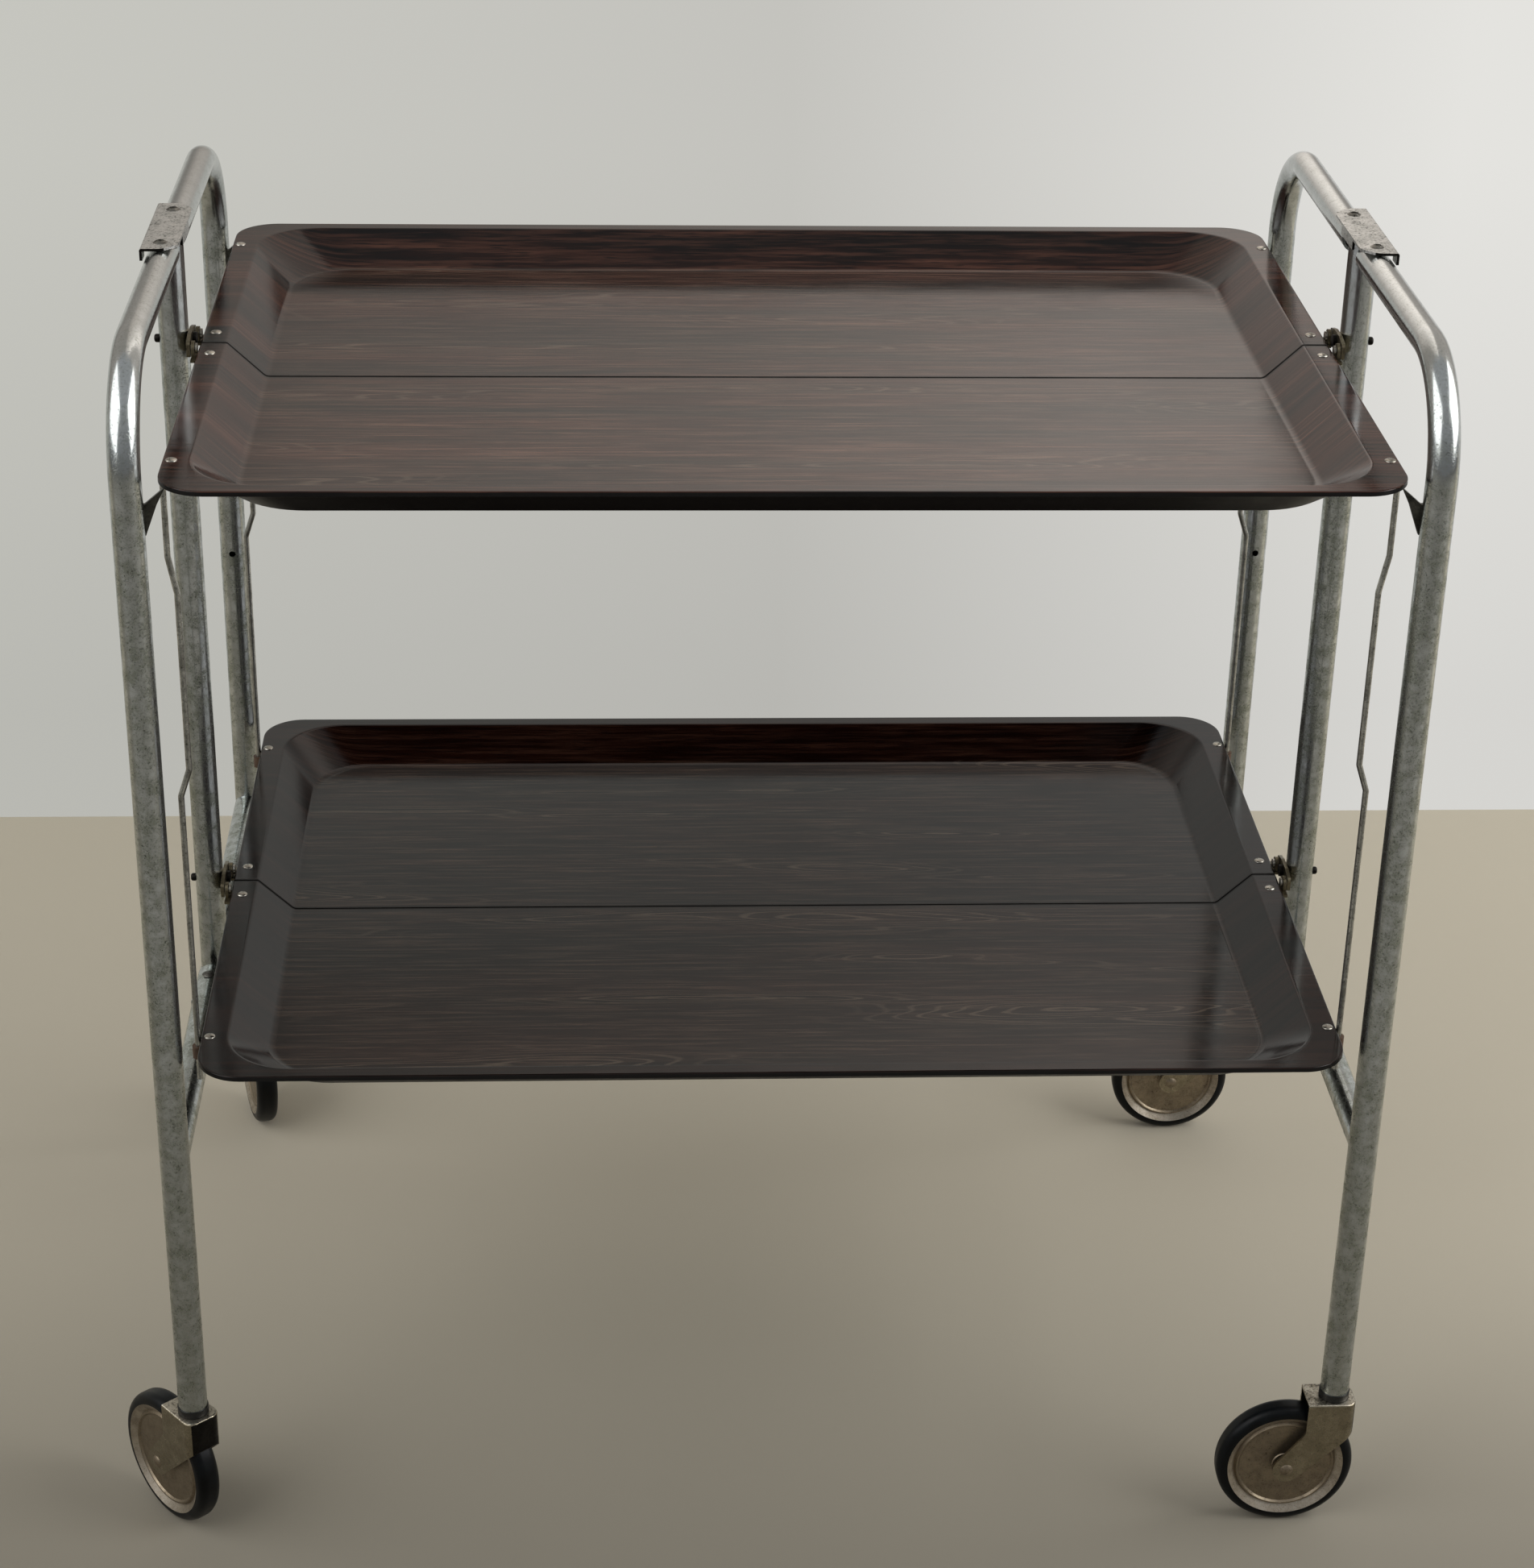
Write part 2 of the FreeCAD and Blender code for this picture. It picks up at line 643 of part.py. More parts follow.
def caster_fork():
    """The stamped fork: a top, two cheeks that taper to the axle, an end wall, and the stem."""
    axle_x = -caster_trail
    low = fork_top - fork_end_drop
    touch = math.sqrt(0.5) * fork_boss_radius
    width = V(0, 2 * fork_half_width, 0)
    y = -fork_half_width
    cheek = prism([
        (fork_lead, y, fork_top),
        (fork_lead, y, low),
        (axle_x + touch, y, wheel_radius - touch),
        (axle_x - touch, y, wheel_radius + touch),
        (-fork_back, y, low),
        (-fork_back, y, fork_top),
    ], width)
    throat = edges_along(cheek, Y_AXIS, lambda c: c.x < slide_gap - fork_back and abs(c.z - low) < slide_gap)
    cheek = cheek.makeFillet(fork_throat_radius, throat)
    leading = edges_along(cheek, Z_AXIS, lambda c: c.x > 0)
    cheek = cheek.makeFillet(fork_corner_radius, leading)
    boss = rod(fork_boss_radius, V(axle_x, y, wheel_radius), Y_AXIS, 2 * fork_half_width)
    body = cheek.fuse(boss).removeSplitter()
    top_edges = [e for e in body.Edges if e.BoundBox.ZMin > fork_top - slide_gap]
    folds = [e for e in top_edges if e.CenterOfMass.x > slide_gap - fork_back]
    body = body.makeFillet(fork_edge_radius, folds)
    inside = fork_half_width - fork_sheet
    pocket = box((-wheel_diameter - caster_trail, -inside, -overrun),
                 (fork_lead - fork_sheet, inside, fork_top - fork_sheet))
    pocket_corners = edges_along(pocket, Z_AXIS, lambda c: c.x > 0)
    pocket = pocket.makeFillet(fork_corner_radius - fork_sheet, pocket_corners)
    hole = rod(axle_diameter / 2 + seat_gap, V(axle_x, y - overrun, wheel_radius), Y_AXIS,
               2 * fork_half_width + 2 * overrun)
    stem = rod(stem_diameter / 2, V(0, 0, fork_top - fork_sheet), Z_AXIS, stem_length)
    return body.cut([pocket, hole]).fuse(stem).removeSplitter()


def caster_axle():
    """The rivet through the cheeks that the wheel turns on."""
    top = V(0, 0, fork_half_width)
    piece = rivet(top, axle_diameter / 2, axle_head_diameter / 2, axle_head_rise, 2 * fork_half_width)
    piece.rotate(ORIGIN, X_AXIS, 90)
    piece.translate(V(-caster_trail, 0, wheel_radius))
    return piece


def turned(points):
    """A ring made by turning an outline of radius and width points about the wheel's axle."""
    outline = Part.makePolygon([V(r, w, 0) for r, w in points] + [V(points[0][0], points[0][1], 0)])
    ring = Part.Face(outline).revolve(ORIGIN, Y_AXIS, 360)
    ring.translate(V(-caster_trail, 0, wheel_radius))
    return ring


def wheel_disc():
    """The pressed wheel: hub, flat disc with a ridge round it, and the sloped flange that holds the tyre."""
    half = wheel_width / 2
    web = web_thickness / 2
    bore = axle_diameter / 2 + running_gap
    disc = half - disc_dip
    upper = [
        (bore, disc + hub_rise),
        (hub_radius, disc + hub_rise),
        (hub_radius + hub_rise, disc),
        (ridge_inner_radius, disc),
        (ridge_inner_radius + ridge_rise, disc + ridge_rise),
        (flange_inner_radius - ridge_rise, disc + ridge_rise),
        (flange_inner_radius, half - flange_dip),
        (tyre_inner_radius, half),
        (tyre_inner_radius - tyre_groove_depth, web),
    ]
    lower = [(r, -w) for r, w in reversed(upper)]
    return turned(upper + lower)


def wheel_tyre():
    """The rubber tyre, seated in the groove of the disc, with a rounded tread."""
    half = wheel_width / 2
    web = web_thickness / 2
    shoulder = tyre_shoulder_radius
    turn = math.sqrt(0.5)
    outer = V(wheel_radius, half - shoulder, 0)
    side = V(wheel_radius - shoulder, half, 0)
    middle = V(wheel_radius - shoulder + shoulder * turn, half - shoulder + shoulder * turn, 0)
    points = [V(tyre_inner_radius, half, 0), V(tyre_inner_radius - tyre_groove_depth, web, 0)]
    other = [V(p.x, -p.y, 0) for p in points]
    flip = [V(p.x, -p.y, 0) for p in (outer, middle, side)]
    edges = [
        Part.LineSegment(points[1], points[0]).toShape(),
        Part.LineSegment(points[0], side).toShape(),
        Part.Arc(side, middle, outer).toShape(),
        Part.LineSegment(outer, flip[0]).toShape(),
        Part.Arc(flip[0], flip[1], flip[2]).toShape(),
        Part.LineSegment(flip[2], other[0]).toShape(),
        Part.LineSegment(other[0], other[1]).toShape(),
        Part.LineSegment(other[1], points[1]).toShape(),
    ]
    ring = Part.Face(Part.Wire(edges)).revolve(ORIGIN, Y_AXIS, 360)
    ring.translate(V(-caster_trail, 0, wheel_radius))
    return ring


def caster_piece(shape, end, side):
    """Swings a caster piece round its stem and sets it below its leg."""
    shape.rotate(ORIGIN, Z_AXIS, CASTER_ANGLES[end, side])
    shape.translate(V(ENDS[end] * end_reach, SIDES[side] * leg_reach, 0))
    return shape


# Every node, as a list of its solids

def both_ends(shape, side):
    """A piece at the right end and its mirror image at the left, on one side."""
    return [place(shape, end, side) for end in ENDS]


def all_corners(shape):
    """A piece at all four corners."""
    return [place(shape, end, side) for end in ENDS for side in SIDES]


def nodes():
    """Names and solids of all the pieces."""
    pieces = {}
    for end in ENDS:
        pieces[f"post_{end}"] = [place(post(), end, "back")]
        pieces[f"handle_plate_{end}"] = [place(handle_plate(), end, "back")]
        pieces[f"foot_plate_{end}"] = [place(foot_plate(), end, "back")]
    pieces["handle_pivot_rivets"] = all_corners(handle_rivet())
    pieces["foot_pivot_rivets"] = all_corners(foot_rivet())
    rims = TRAYS.values()
    pieces["hinge_brackets"] = [place(bracket(rim), end, "back") for rim in rims for end in ENDS]
    pieces["bracket_bolts"] = [place(bracket_bolt(rim), end, "back") for rim in rims for end in ENDS]
    pieces["hinge_pins"] = [pin for rim in rims for pin in all_corners(hinge_pin(rim))]
    for side in SIDES:
        for tray_name, rim in TRAYS.items():
            name = f"{tray_name}_{side}"
            hole_gap = running_gap if tray_name == "upper" else rod_open_gap
            pieces[f"{name}_leaf"] = [place(leaf(rim), "right", side)]
            pieces[f"{name}_lugs"] = both_ends(hinge_lug(rim), side) + both_ends(rod_lug(rim, hole_gap), side)
            pieces[f"{name}_rivets"] = [r for spot in rim_rivets(rim) for r in both_ends(spot, side)]
        pieces[f"{side}_tie_rods"] = both_ends(tie_rod(), side)
        pieces[f"{side}_rod_clips"] = both_ends(rod_clip(), side)
        for end in ENDS:
            name = f"{side}_{end}"
            pieces[f"gate_tube_{name}"] = [place(gate_tube(), end, side)]
            pieces[f"stretcher_{name}"] = [place(stretcher(), end, side)]
            pieces[f"catch_{name}"] = [place(catch(), end, side)]
            pieces[f"caster_socket_{name}"] = [caster_piece(caster_socket(), end, side)]
            pieces[f"caster_fork_{name}"] = [caster_piece(caster_fork(), end, side)]
            pieces[f"caster_axle_{name}"] = [caster_piece(caster_axle(), end, side)]
            pieces[f"wheel_disc_{name}"] = [caster_piece(wheel_disc(), end, side)]
            pieces[f"wheel_tyre_{name}"] = [caster_piece(wheel_tyre(), end, side)]
    return pieces


os.makedirs("parts", exist_ok=True)
for name, solids in nodes().items():
    whole = solids[0] if len(solids) == 1 else Part.makeCompound(solids)
    whole.exportStep(f"parts/{name}.step")
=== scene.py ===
import json
import math

import bmesh
import bpy
from mathutils import Matrix, Vector

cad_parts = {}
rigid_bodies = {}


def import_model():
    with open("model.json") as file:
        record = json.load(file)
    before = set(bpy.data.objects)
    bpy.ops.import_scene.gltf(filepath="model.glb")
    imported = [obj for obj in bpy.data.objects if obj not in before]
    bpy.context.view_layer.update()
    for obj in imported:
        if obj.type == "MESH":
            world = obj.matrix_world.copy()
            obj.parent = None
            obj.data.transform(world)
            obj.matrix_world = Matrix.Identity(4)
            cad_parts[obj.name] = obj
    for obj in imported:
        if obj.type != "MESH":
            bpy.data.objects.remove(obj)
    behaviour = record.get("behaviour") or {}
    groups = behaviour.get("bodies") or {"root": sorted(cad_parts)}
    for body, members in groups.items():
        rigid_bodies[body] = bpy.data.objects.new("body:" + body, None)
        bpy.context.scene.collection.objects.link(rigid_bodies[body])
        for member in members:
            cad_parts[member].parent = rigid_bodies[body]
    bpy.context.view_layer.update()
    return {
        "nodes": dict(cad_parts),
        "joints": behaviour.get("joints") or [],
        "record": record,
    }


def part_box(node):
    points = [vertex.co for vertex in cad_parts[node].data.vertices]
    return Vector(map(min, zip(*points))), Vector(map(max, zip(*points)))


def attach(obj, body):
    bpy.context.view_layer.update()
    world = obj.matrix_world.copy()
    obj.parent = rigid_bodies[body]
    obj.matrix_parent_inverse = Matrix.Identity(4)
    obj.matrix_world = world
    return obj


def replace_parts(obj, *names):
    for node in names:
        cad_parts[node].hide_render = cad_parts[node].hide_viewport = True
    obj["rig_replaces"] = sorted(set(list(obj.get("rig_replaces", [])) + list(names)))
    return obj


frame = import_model()
NODES = frame["nodes"]
BODIES = frame["record"]["behaviour"]["bodies"]
JOINTS = {joint["name"]: joint for joint in frame["joints"]}
SLOTS = {part["node"]: part["material_slot"] for part in frame["record"]["subparts"]}
MM = 0.001
ENDS = {"left": -1, "right": 1}
SIDES = {"front": -1, "back": 1}
TRAYS = ("upper", "lower")

# Sizes that the frame gives
post_low, post_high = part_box("post_right")
gate_low, gate_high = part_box("gate_tube_back_right")
leaf_low, leaf_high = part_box("upper_back_leaf")
rods_low, rods_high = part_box("back_tie_rods")
TUBE_RADIUS = (post_high.x - post_low.x) / 2
END_REACH = (post_high.x + post_low.x) / 2
LEG_REACH = gate_high.y - TUBE_RADIUS
HANDLE_HEIGHT = gate_high.z - TUBE_RADIUS
TRAY_END = leaf_high.x
TRAY_SIDE = leaf_high.y
SEAM = leaf_low.y
RIM_HEIGHT = {tray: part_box(f"{tray}_back_leaf")[1].z for tray in TRAYS}
ROD_RADIUS = (rods_high.y - rods_low.y) / 2
ROD_REACH = (rods_high.y + rods_low.y) / 2

# Sizes of the tubes
HANDLE_BEND = 55 * MM
TUBE_WALL = 1.5 * MM
DRILLING_HEIGHT = 428 * MM
DRILLING_RADIUS = 2 * MM

# Sizes of the trays' section
SHEET = 2.6 * MM
EDGE_ROUND = 0.5 * MM
OUTER_CORNER = 24 * MM
END_RIM = 14 * MM
SIDE_RIM = 9 * MM
RECESS_CORNER = 36 * MM
FLOOR_CORNER = 37 * MM
WALL_RUN = 20 * MM
RECESS_DEPTH = 19 * MM
RIM_ROUND = 2 * MM
FLOOR_ROUND = 5 * MM
SEAM_SHADE_BAND = 1.1 * MM        # width of the black strip beside the seam, painted shade of the gap between the leaves
FLAT_HOLD = 0.8 * MM        # narrow flat strip that keeps the shading of a level face level

# Sizes of the rim rivets, from the tray's end and from its middle
HINGE_RIVET_INSET = 6.5 * MM
HINGE_RIVET_REACH = 17 * MM
ROD_RIVET_INSET = 4.4 * MM
RIVET_HEAD_RADIUS = 3 * MM
RIVET_RISE = 1.1 * MM
RIVET_RADIUS = 1.5 * MM
RIVET_GRIP = 4.1 * MM

# Sizes of the tie rods, from the tray's end and from the rims
ROD_PIN_DROP = 9 * MM
ROD_PIN_INSET = 12 * MM
ROD_UPPER_OUTSET = 0.6 * MM
ROD_MIDDLE_INSET = 3 * MM
ROD_LOWER_OUTSET = 2 * MM
ROD_UPPER_RUN = 42 * MM
ROD_UPPER_JOG = 20 * MM
ROD_LOWER_RUN = 153 * MM
ROD_LOWER_JOG = 15 * MM
ROD_BEND = 4 * MM

# Size of the wheels
FLANGE_START = 28.5 * MM    # radius where the bright flange begins

# Sizes of the wood print, along and across the tray
BAND_SIZE = (420 * MM, 28 * MM)
FIBRE_SIZE = (80 * MM, 2.4 * MM)    # drawn coarser than the print, so that the fibres show
RING_SIZE = (380 * MM, 32 * MM)
RING_STEPS = 230.0          # how steeply the relief below the growth rings is cut into lines
PORE_SIZE = (16 * MM, 0.9 * MM)

# How finely pieces are drawn
TUBE_FACETS = 48
WIRE_FACETS = 20
BAR_BEND_STEPS = 28
DOME_FACETS = 24
DOME_RINGS = 12
SHANK_FACETS = 16
DRILL_FACETS = 24
TRAY_CORNER_STEPS = 14
TRAY_SIDE_STEPS = 5
SHEET_BEND_STEPS = 6
SHEET_EDGE_STEPS = 3
SAME_POINT = 0.001 * MM     # points this close become one
SAME_CAD_POINT = 0.002 * MM

# Angles above which an edge stays sharp, in degrees
BAR_SHARP = 40
SHEET_SHARP = 50
CAD_SHARP = 32

FACING = 0.8                # a face looks towards a side when this much of its normal does

# Stage, in metres
WALL_Y = 0.68
WALL_HEIGHT = 3.2
STAGE_HALF_WIDTH = 5.0
FLOOR_FRONT = -5.0
FLOOR_REAR = 5.0
SHADE_REAR = (-0.32, 0.12)      # the shade on the floor ends between these places behind
SHADE_FRONT = (-0.34, -0.85)    # and between these in front
WALL_SHADED = (-0.7, 0.1)       # the wall changes its tone between these places, from left to right
WALL_LIT = (0.05, 0.55)         # and is fully lit after these
WALL_FOOT = (0.1, 0.55)         # it brightens upwards between these heights
MIRROR_START = (0.67, 0.76)     # above these heights the trays mirror the wall, and the camera doesn't see it
MIRROR_RISE = (0.74, 0.96)      # there it brightens upwards between these heights
MIRROR_SPAN = (-0.5, 0.6)       # and its tones follow each other along these places
MIRROR_TONES = {
    0.04: "#8d8882", 0.16: "#b3aba3", 0.45: "#d2cac2", 0.73: "#fff5ec", 0.83: "#fff5ec", 0.91: "#a39d97",
}

ABOVE_ALL = (8.0, 9.0)          # heights above the whole trolley, for metal that is worn all over

# Camera, found by fitting a pinhole camera to the photograph
CAMERA_PLACE = Vector((-92.0, -1688.5, 1212.7)) * MM
CAMERA_YAW = 3.243
CAMERA_PITCH = 26.563
CAMERA_ROLL = 1.194
FOCAL_PIXELS = 4055.2
PHOTO_WIDTH = 1904
SENSOR_WIDTH = 36.0


# Small steps that the rest is built from

def linear(hex_colour):
    """An sRGB hex colour as linear RGBA."""
    channels = [int(hex_colour[i:i + 2], 16) / 255 for i in (1, 3, 5)]
    return tuple(c / 12.92 if c <= 0.04045 else ((c + 0.055) / 1.055) ** 2.4 for c in channels) + (1.0,)


def add(tree, kind, inputs=None, **settings):
    """Adds a node with its settings, and sets its inputs to values or links them from nodes or sockets."""
    made = tree.nodes.new(kind)
    for name, value in settings.items():
        setattr(made, name, value)
    for name, value in (inputs or {}).items():
        socket = next(s for k, s in enumerate(made.inputs) if name == k or (s.enabled and s.name == name))
        if isinstance(value, bpy.types.Node):
            value = next(s for s in value.outputs if s.enabled)
        if isinstance(value, bpy.types.NodeSocket):
            tree.links.new(value, socket)
        else:
            socket.default_value = value
    return made


def new_object(name, mesh):
    """Links a mesh into the scene as an object at the origin."""
    piece = bpy.data.objects.new(name, mesh)
    bpy.context.scene.collection.objects.link(piece)
    return piece


def body_of(node):
    """The body that a CAD node belongs to."""
    return next(body for body, members in BODIES.items() if node in members)


def stands_for(piece, node):
    """Lets a piece ride with a CAD node's body and take the node's place."""
    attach(piece, body_of(node))
    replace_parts(piece, node)


def shade(mesh, sharp_degrees):
    """Smooth shading with sharp edges above an angle."""
    mesh.polygons.foreach_set("use_smooth", [True] * len(mesh.polygons))
    mesh.set_sharp_from_angle(angle=math.radians(sharp_degrees))


def new_material(name):
    """An empty material, its tree, and its object coordinates."""
    material = bpy.data.materials.new(name)
    material.use_nodes = True
    tree = material.node_tree
    tree.nodes.clear()
    return material, tree, add(tree, "ShaderNodeTexCoord").outputs["Object"]


def print_scale(size, layer):
    """Mapping scale of a printed pattern from its size. The layer gives each tray its own part of the pattern."""
    return (1 / size[0], 1 / size[1], layer)


def without_rear(tree, shader):
    """Ends a stage material that isn't there when seen from its rear side."""
    rear = add(tree, "ShaderNodeNewGeometry").outputs["Backfacing"]
    clear = add(tree, "ShaderNodeBsdfTransparent")
    one_sided = add(tree, "ShaderNodeMixShader", {0: rear, 1: shader, 2: clear})
    add(tree, "ShaderNodeOutputMaterial", {"Surface": one_sided})


# Finishes

def rosewood_laminate():
    """Printed rosewood paper pressed under a clear resin film. The print is near-black with red-brown fibres along
    the tray and, on the floors, a few growth rings and tan streaks along the fibres that are painted glints of the
    film's ripples. The film is smooth, so the floors carry a grey veil of the room."""
    material, tree, place = new_material("rosewood_laminate")
    axes = add(tree, "ShaderNodeSeparateXYZ", {"Vector": place}).outputs
    # The sheet was printed flat and pressed afterwards, so height only tells the upper tray from the lower one
    between = sum(RIM_HEIGHT.values()) / 2
    is_upper = add(tree, "ShaderNodeMath", {0: axes["Z"], 1: between}, operation="GREATER_THAN")
    paper = add(tree, "ShaderNodeCombineXYZ", {"X": axes["X"], "Y": axes["Y"], "Z": is_upper})
    broad = add(tree, "ShaderNodeMapping", {"Vector": paper, "Scale": print_scale(BAND_SIZE, 3.7)})
    bands = add(tree, "ShaderNodeTexNoise", {"Vector": broad, "Scale": 1, "Detail": 3, "Roughness": 0.6,
                                             "Distortion": 0.4})
    depth = add(tree, "ShaderNodeMapRange", {"Value": bands, "From Min": 0.40, "From Max": 0.68})
    ground = add(tree, "ShaderNodeMix", {"Factor": depth, "A": linear("#080403"), "B": linear("#30160e")},
                 data_type="RGBA")
    fine = add(tree, "ShaderNodeMapping", {"Vector": paper, "Scale": print_scale(FIBRE_SIZE, 9.1)})
    threads = add(tree, "ShaderNodeTexNoise", {"Vector": fine, "Scale": 1, "Detail": 3, "Roughness": 0.7})
    drawn = add(tree, "ShaderNodeMapRange", {"Value": threads, "From Min": 0.44, "From Max": 0.72,
                                             "To Max": 0.9})
    share = add(tree, "ShaderNodeMapRange", {"Value": depth, "To Min": 0.4, "To Max": 1})
    lit = add(tree, "ShaderNodeMath", {0: drawn, 1: share}, operation="MULTIPLY")
    fibre = add(tree, "ShaderNodeMix", {"Factor": lit, "A": ground, "B": linear("#5f3e31")},
                data_type="RGBA")
    # Growth rings: lines of equal height on a long soft relief, which close into loops
    slow = add(tree, "ShaderNodeMapping", {"Vector": paper, "Scale": print_scale(RING_SIZE, 5.3)})
    relief = add(tree, "ShaderNodeTexNoise", {"Vector": slow, "Scale": 1, "Detail": 2, "Roughness": 0.35})
    steps = add(tree, "ShaderNodeMath", {0: relief, 1: RING_STEPS}, operation="MULTIPLY")
    waves = add(tree, "ShaderNodeMath", {0: steps}, operation="SINE")
    lines = add(tree, "ShaderNodeMapRange", {"Value": waves, "From Min": 0.45, "From Max": 1,
                                             "To Max": 0.25})
    hearts = add(tree, "ShaderNodeMapRange", {"Value": relief, "From Min": 0.50, "From Max": 0.62})
    # Both trays are brought to the lower one's height, to tell their floors from their walls
    tray_drop = RIM_HEIGHT["lower"] - RIM_HEIGHT["upper"]
    floor_height = RIM_HEIGHT["lower"] - RECESS_DEPTH
    brought_down = add(tree, "ShaderNodeMath", {0: is_upper, 1: tray_drop, 2: axes["Z"]},
                       operation="MULTIPLY_ADD")
    on_floor = add(tree, "ShaderNodeMapRange", {
        "Value": brought_down, "From Min": floor_height, "From Max": floor_height + FLOOR_ROUND / 3,
        "To Min": 1, "To Max": 0})
    loops = add(tree, "ShaderNodeMath", {0: lines, 1: hearts}, operation="MULTIPLY")
    # Light streaks along the fibres, on the floors only: painted glints of the film's ripples, drawn tan with the
    # growth rings
    streaks = add(tree, "ShaderNodeMapRange", {"Value": threads, "From Min": 0.48, "From Max": 0.74,
                                               "To Max": 0.17})
    marks = add(tree, "ShaderNodeMath", {0: loops, 1: streaks}, operation="MAXIMUM")
    tan = add(tree, "ShaderNodeMath", {0: marks, 1: on_floor}, operation="MULTIPLY")
    # The lower tray's print is darkened: painted shade from the upper tray above it
    lower_tray_shade = add(tree, "ShaderNodeMapRange", {"Value": is_upper, "To Min": 0.28, "To Max": 1})
    print_and_shade = add(tree, "ShaderNodeVectorMath", {0: fibre, "Scale": lower_tray_shade}, operation="SCALE")
    figure = add(tree, "ShaderNodeMix", {"Factor": tan, "A": print_and_shade, "B": linear("#80705f")},
                 data_type="RGBA")
    short = add(tree, "ShaderNodeMapping", {"Vector": paper, "Scale": print_scale(PORE_SIZE, 2.9)})
    pores = add(tree, "ShaderNodeTexNoise", {"Vector": short, "Scale": 1, "Detail": 1})
    holes = add(tree, "ShaderNodeMapRange", {"Value": pores, "From Min": 0.56, "From Max": 0.70,
                                             "To Max": 0.7})
    colour = add(tree, "ShaderNodeMix", {"Factor": holes, "A": figure, "B": linear("#080404")},
                 data_type="RGBA")
    rubbed = add(tree, "ShaderNodeTexNoise", {"Vector": place, "Scale": 1 / (50 * MM), "Detail": 4,
                                              "Roughness": 0.65})
    gloss = add(tree, "ShaderNodeMapRange", {"Value": rubbed, "From Min": 0.35, "From Max": 0.7, "To Min": 0.10,
                                             "To Max": 0.19})
    # The paper's fibres show through the film as faint ripples
    ripples = add(tree, "ShaderNodeBump", {"Height": threads, "Distance": 0.05 * MM, "Strength": 1})
    shader = add(tree, "ShaderNodeBsdfPrincipled", {"Base Color": colour, "Roughness": gloss, "IOR": 1.36,
                                                    "Normal": ripples})
    add(tree, "ShaderNodeOutputMaterial", {"Surface": shader})
    return material


def black_backing():
    """Black phenolic backing sheet of the trays, which also shows as the thin cut edge and as painted shade on the
    strips beside the seam: dull and slightly brown.
    """
    material, tree, place = new_material("black_backing_sheet")
    mottle = add(tree, "ShaderNodeTexNoise", {"Vector": place, "Scale": 1 / (25 * MM), "Detail": 4,
                                              "Roughness": 0.6})
    colour = add(tree, "ShaderNodeMix", {"Factor": mottle, "A": linear("#030202"), "B": linear("#0d0a09")},
                 data_type="RGBA")
    gloss = add(tree, "ShaderNodeMapRange", {"Value": mottle, "From Min": 0.3, "From Max": 0.7, "To Min": 0.38,
                                             "To Max": 0.52})
    shader = add(tree, "ShaderNodeBsdfPrincipled", {"Base Color": colour, "Roughness": gloss,
                                                    "Specular IOR Level": 0.25})
    add(tree, "ShaderNodeOutputMaterial", {"Surface": shader})
    return material


def aged_metal(name, clean, dull, pit, pit_size, pit_share, smooth, rough, clean_above=ABOVE_ALL):
    """Plated steel that has aged: bright plate between dull patches, with dark pits where the plate has failed.
    Between the two heights of clean_above the wear fades out, so that what is above them looks polished."""
    material, tree, place = new_material(name)
    patches = add(tree, "ShaderNodeTexNoise", {"Vector": place, "Scale": 1 / (9 * MM), "Detail": 5,
                                               "Roughness": 0.78})
    worn = add(tree, "ShaderNodeMapRange", {"Value": patches, "From Min": 0.36, "From Max": 0.62})
    height = add(tree, "ShaderNodeSeparateXYZ", {"Vector": place}).outputs["Z"]
    kept = add(tree, "ShaderNodeMapRange", {"Value": height, "From Min": clean_above[0],
                                            "From Max": clean_above[1], "To Min": 1, "To Max": 0.25})
    age = add(tree, "ShaderNodeMath", {0: worn, 1: kept}, operation="MULTIPLY")
    specks = add(tree, "ShaderNodeTexNoise", {"Vector": place, "Scale": 1 / pit_size, "Detail": 3,
                                              "Roughness": 0.7})
    failed = add(tree, "ShaderNodeMapRange", {"Value": specks, "From Min": 0.60 - pit_share,
                                              "From Max": 0.72 - pit_share})
    spread = add(tree, "ShaderNodeMapRange", {"Value": age, "To Min": 0.2, "To Max": 1})
    pits = add(tree, "ShaderNodeMath", {0: failed, 1: spread}, operation="MULTIPLY")
    plate = add(tree, "ShaderNodeMix", {"Factor": age, "A": linear(clean), "B": linear(dull)},
                data_type="RGBA")
    colour = add(tree, "ShaderNodeMix", {"Factor": pits, "A": plate, "B": linear(pit)}, data_type="RGBA")
    etched = add(tree, "ShaderNodeMath", {0: age, 1: pits}, operation="MAXIMUM")
    gloss = add(tree, "ShaderNodeMapRange", {"Value": etched, "To Min": smooth, "To Max": rough})
    sunk = add(tree, "ShaderNodeBump", {"Height": pits, "Distance": -0.08 * MM, "Strength": 0.7})
    shader = add(tree, "ShaderNodeBsdfPrincipled", {"Base Color": colour, "Roughness": gloss, "Metallic": 1,
                                                    "Normal": sunk})
    add(tree, "ShaderNodeOutputMaterial", {"Surface": shader})
    return material


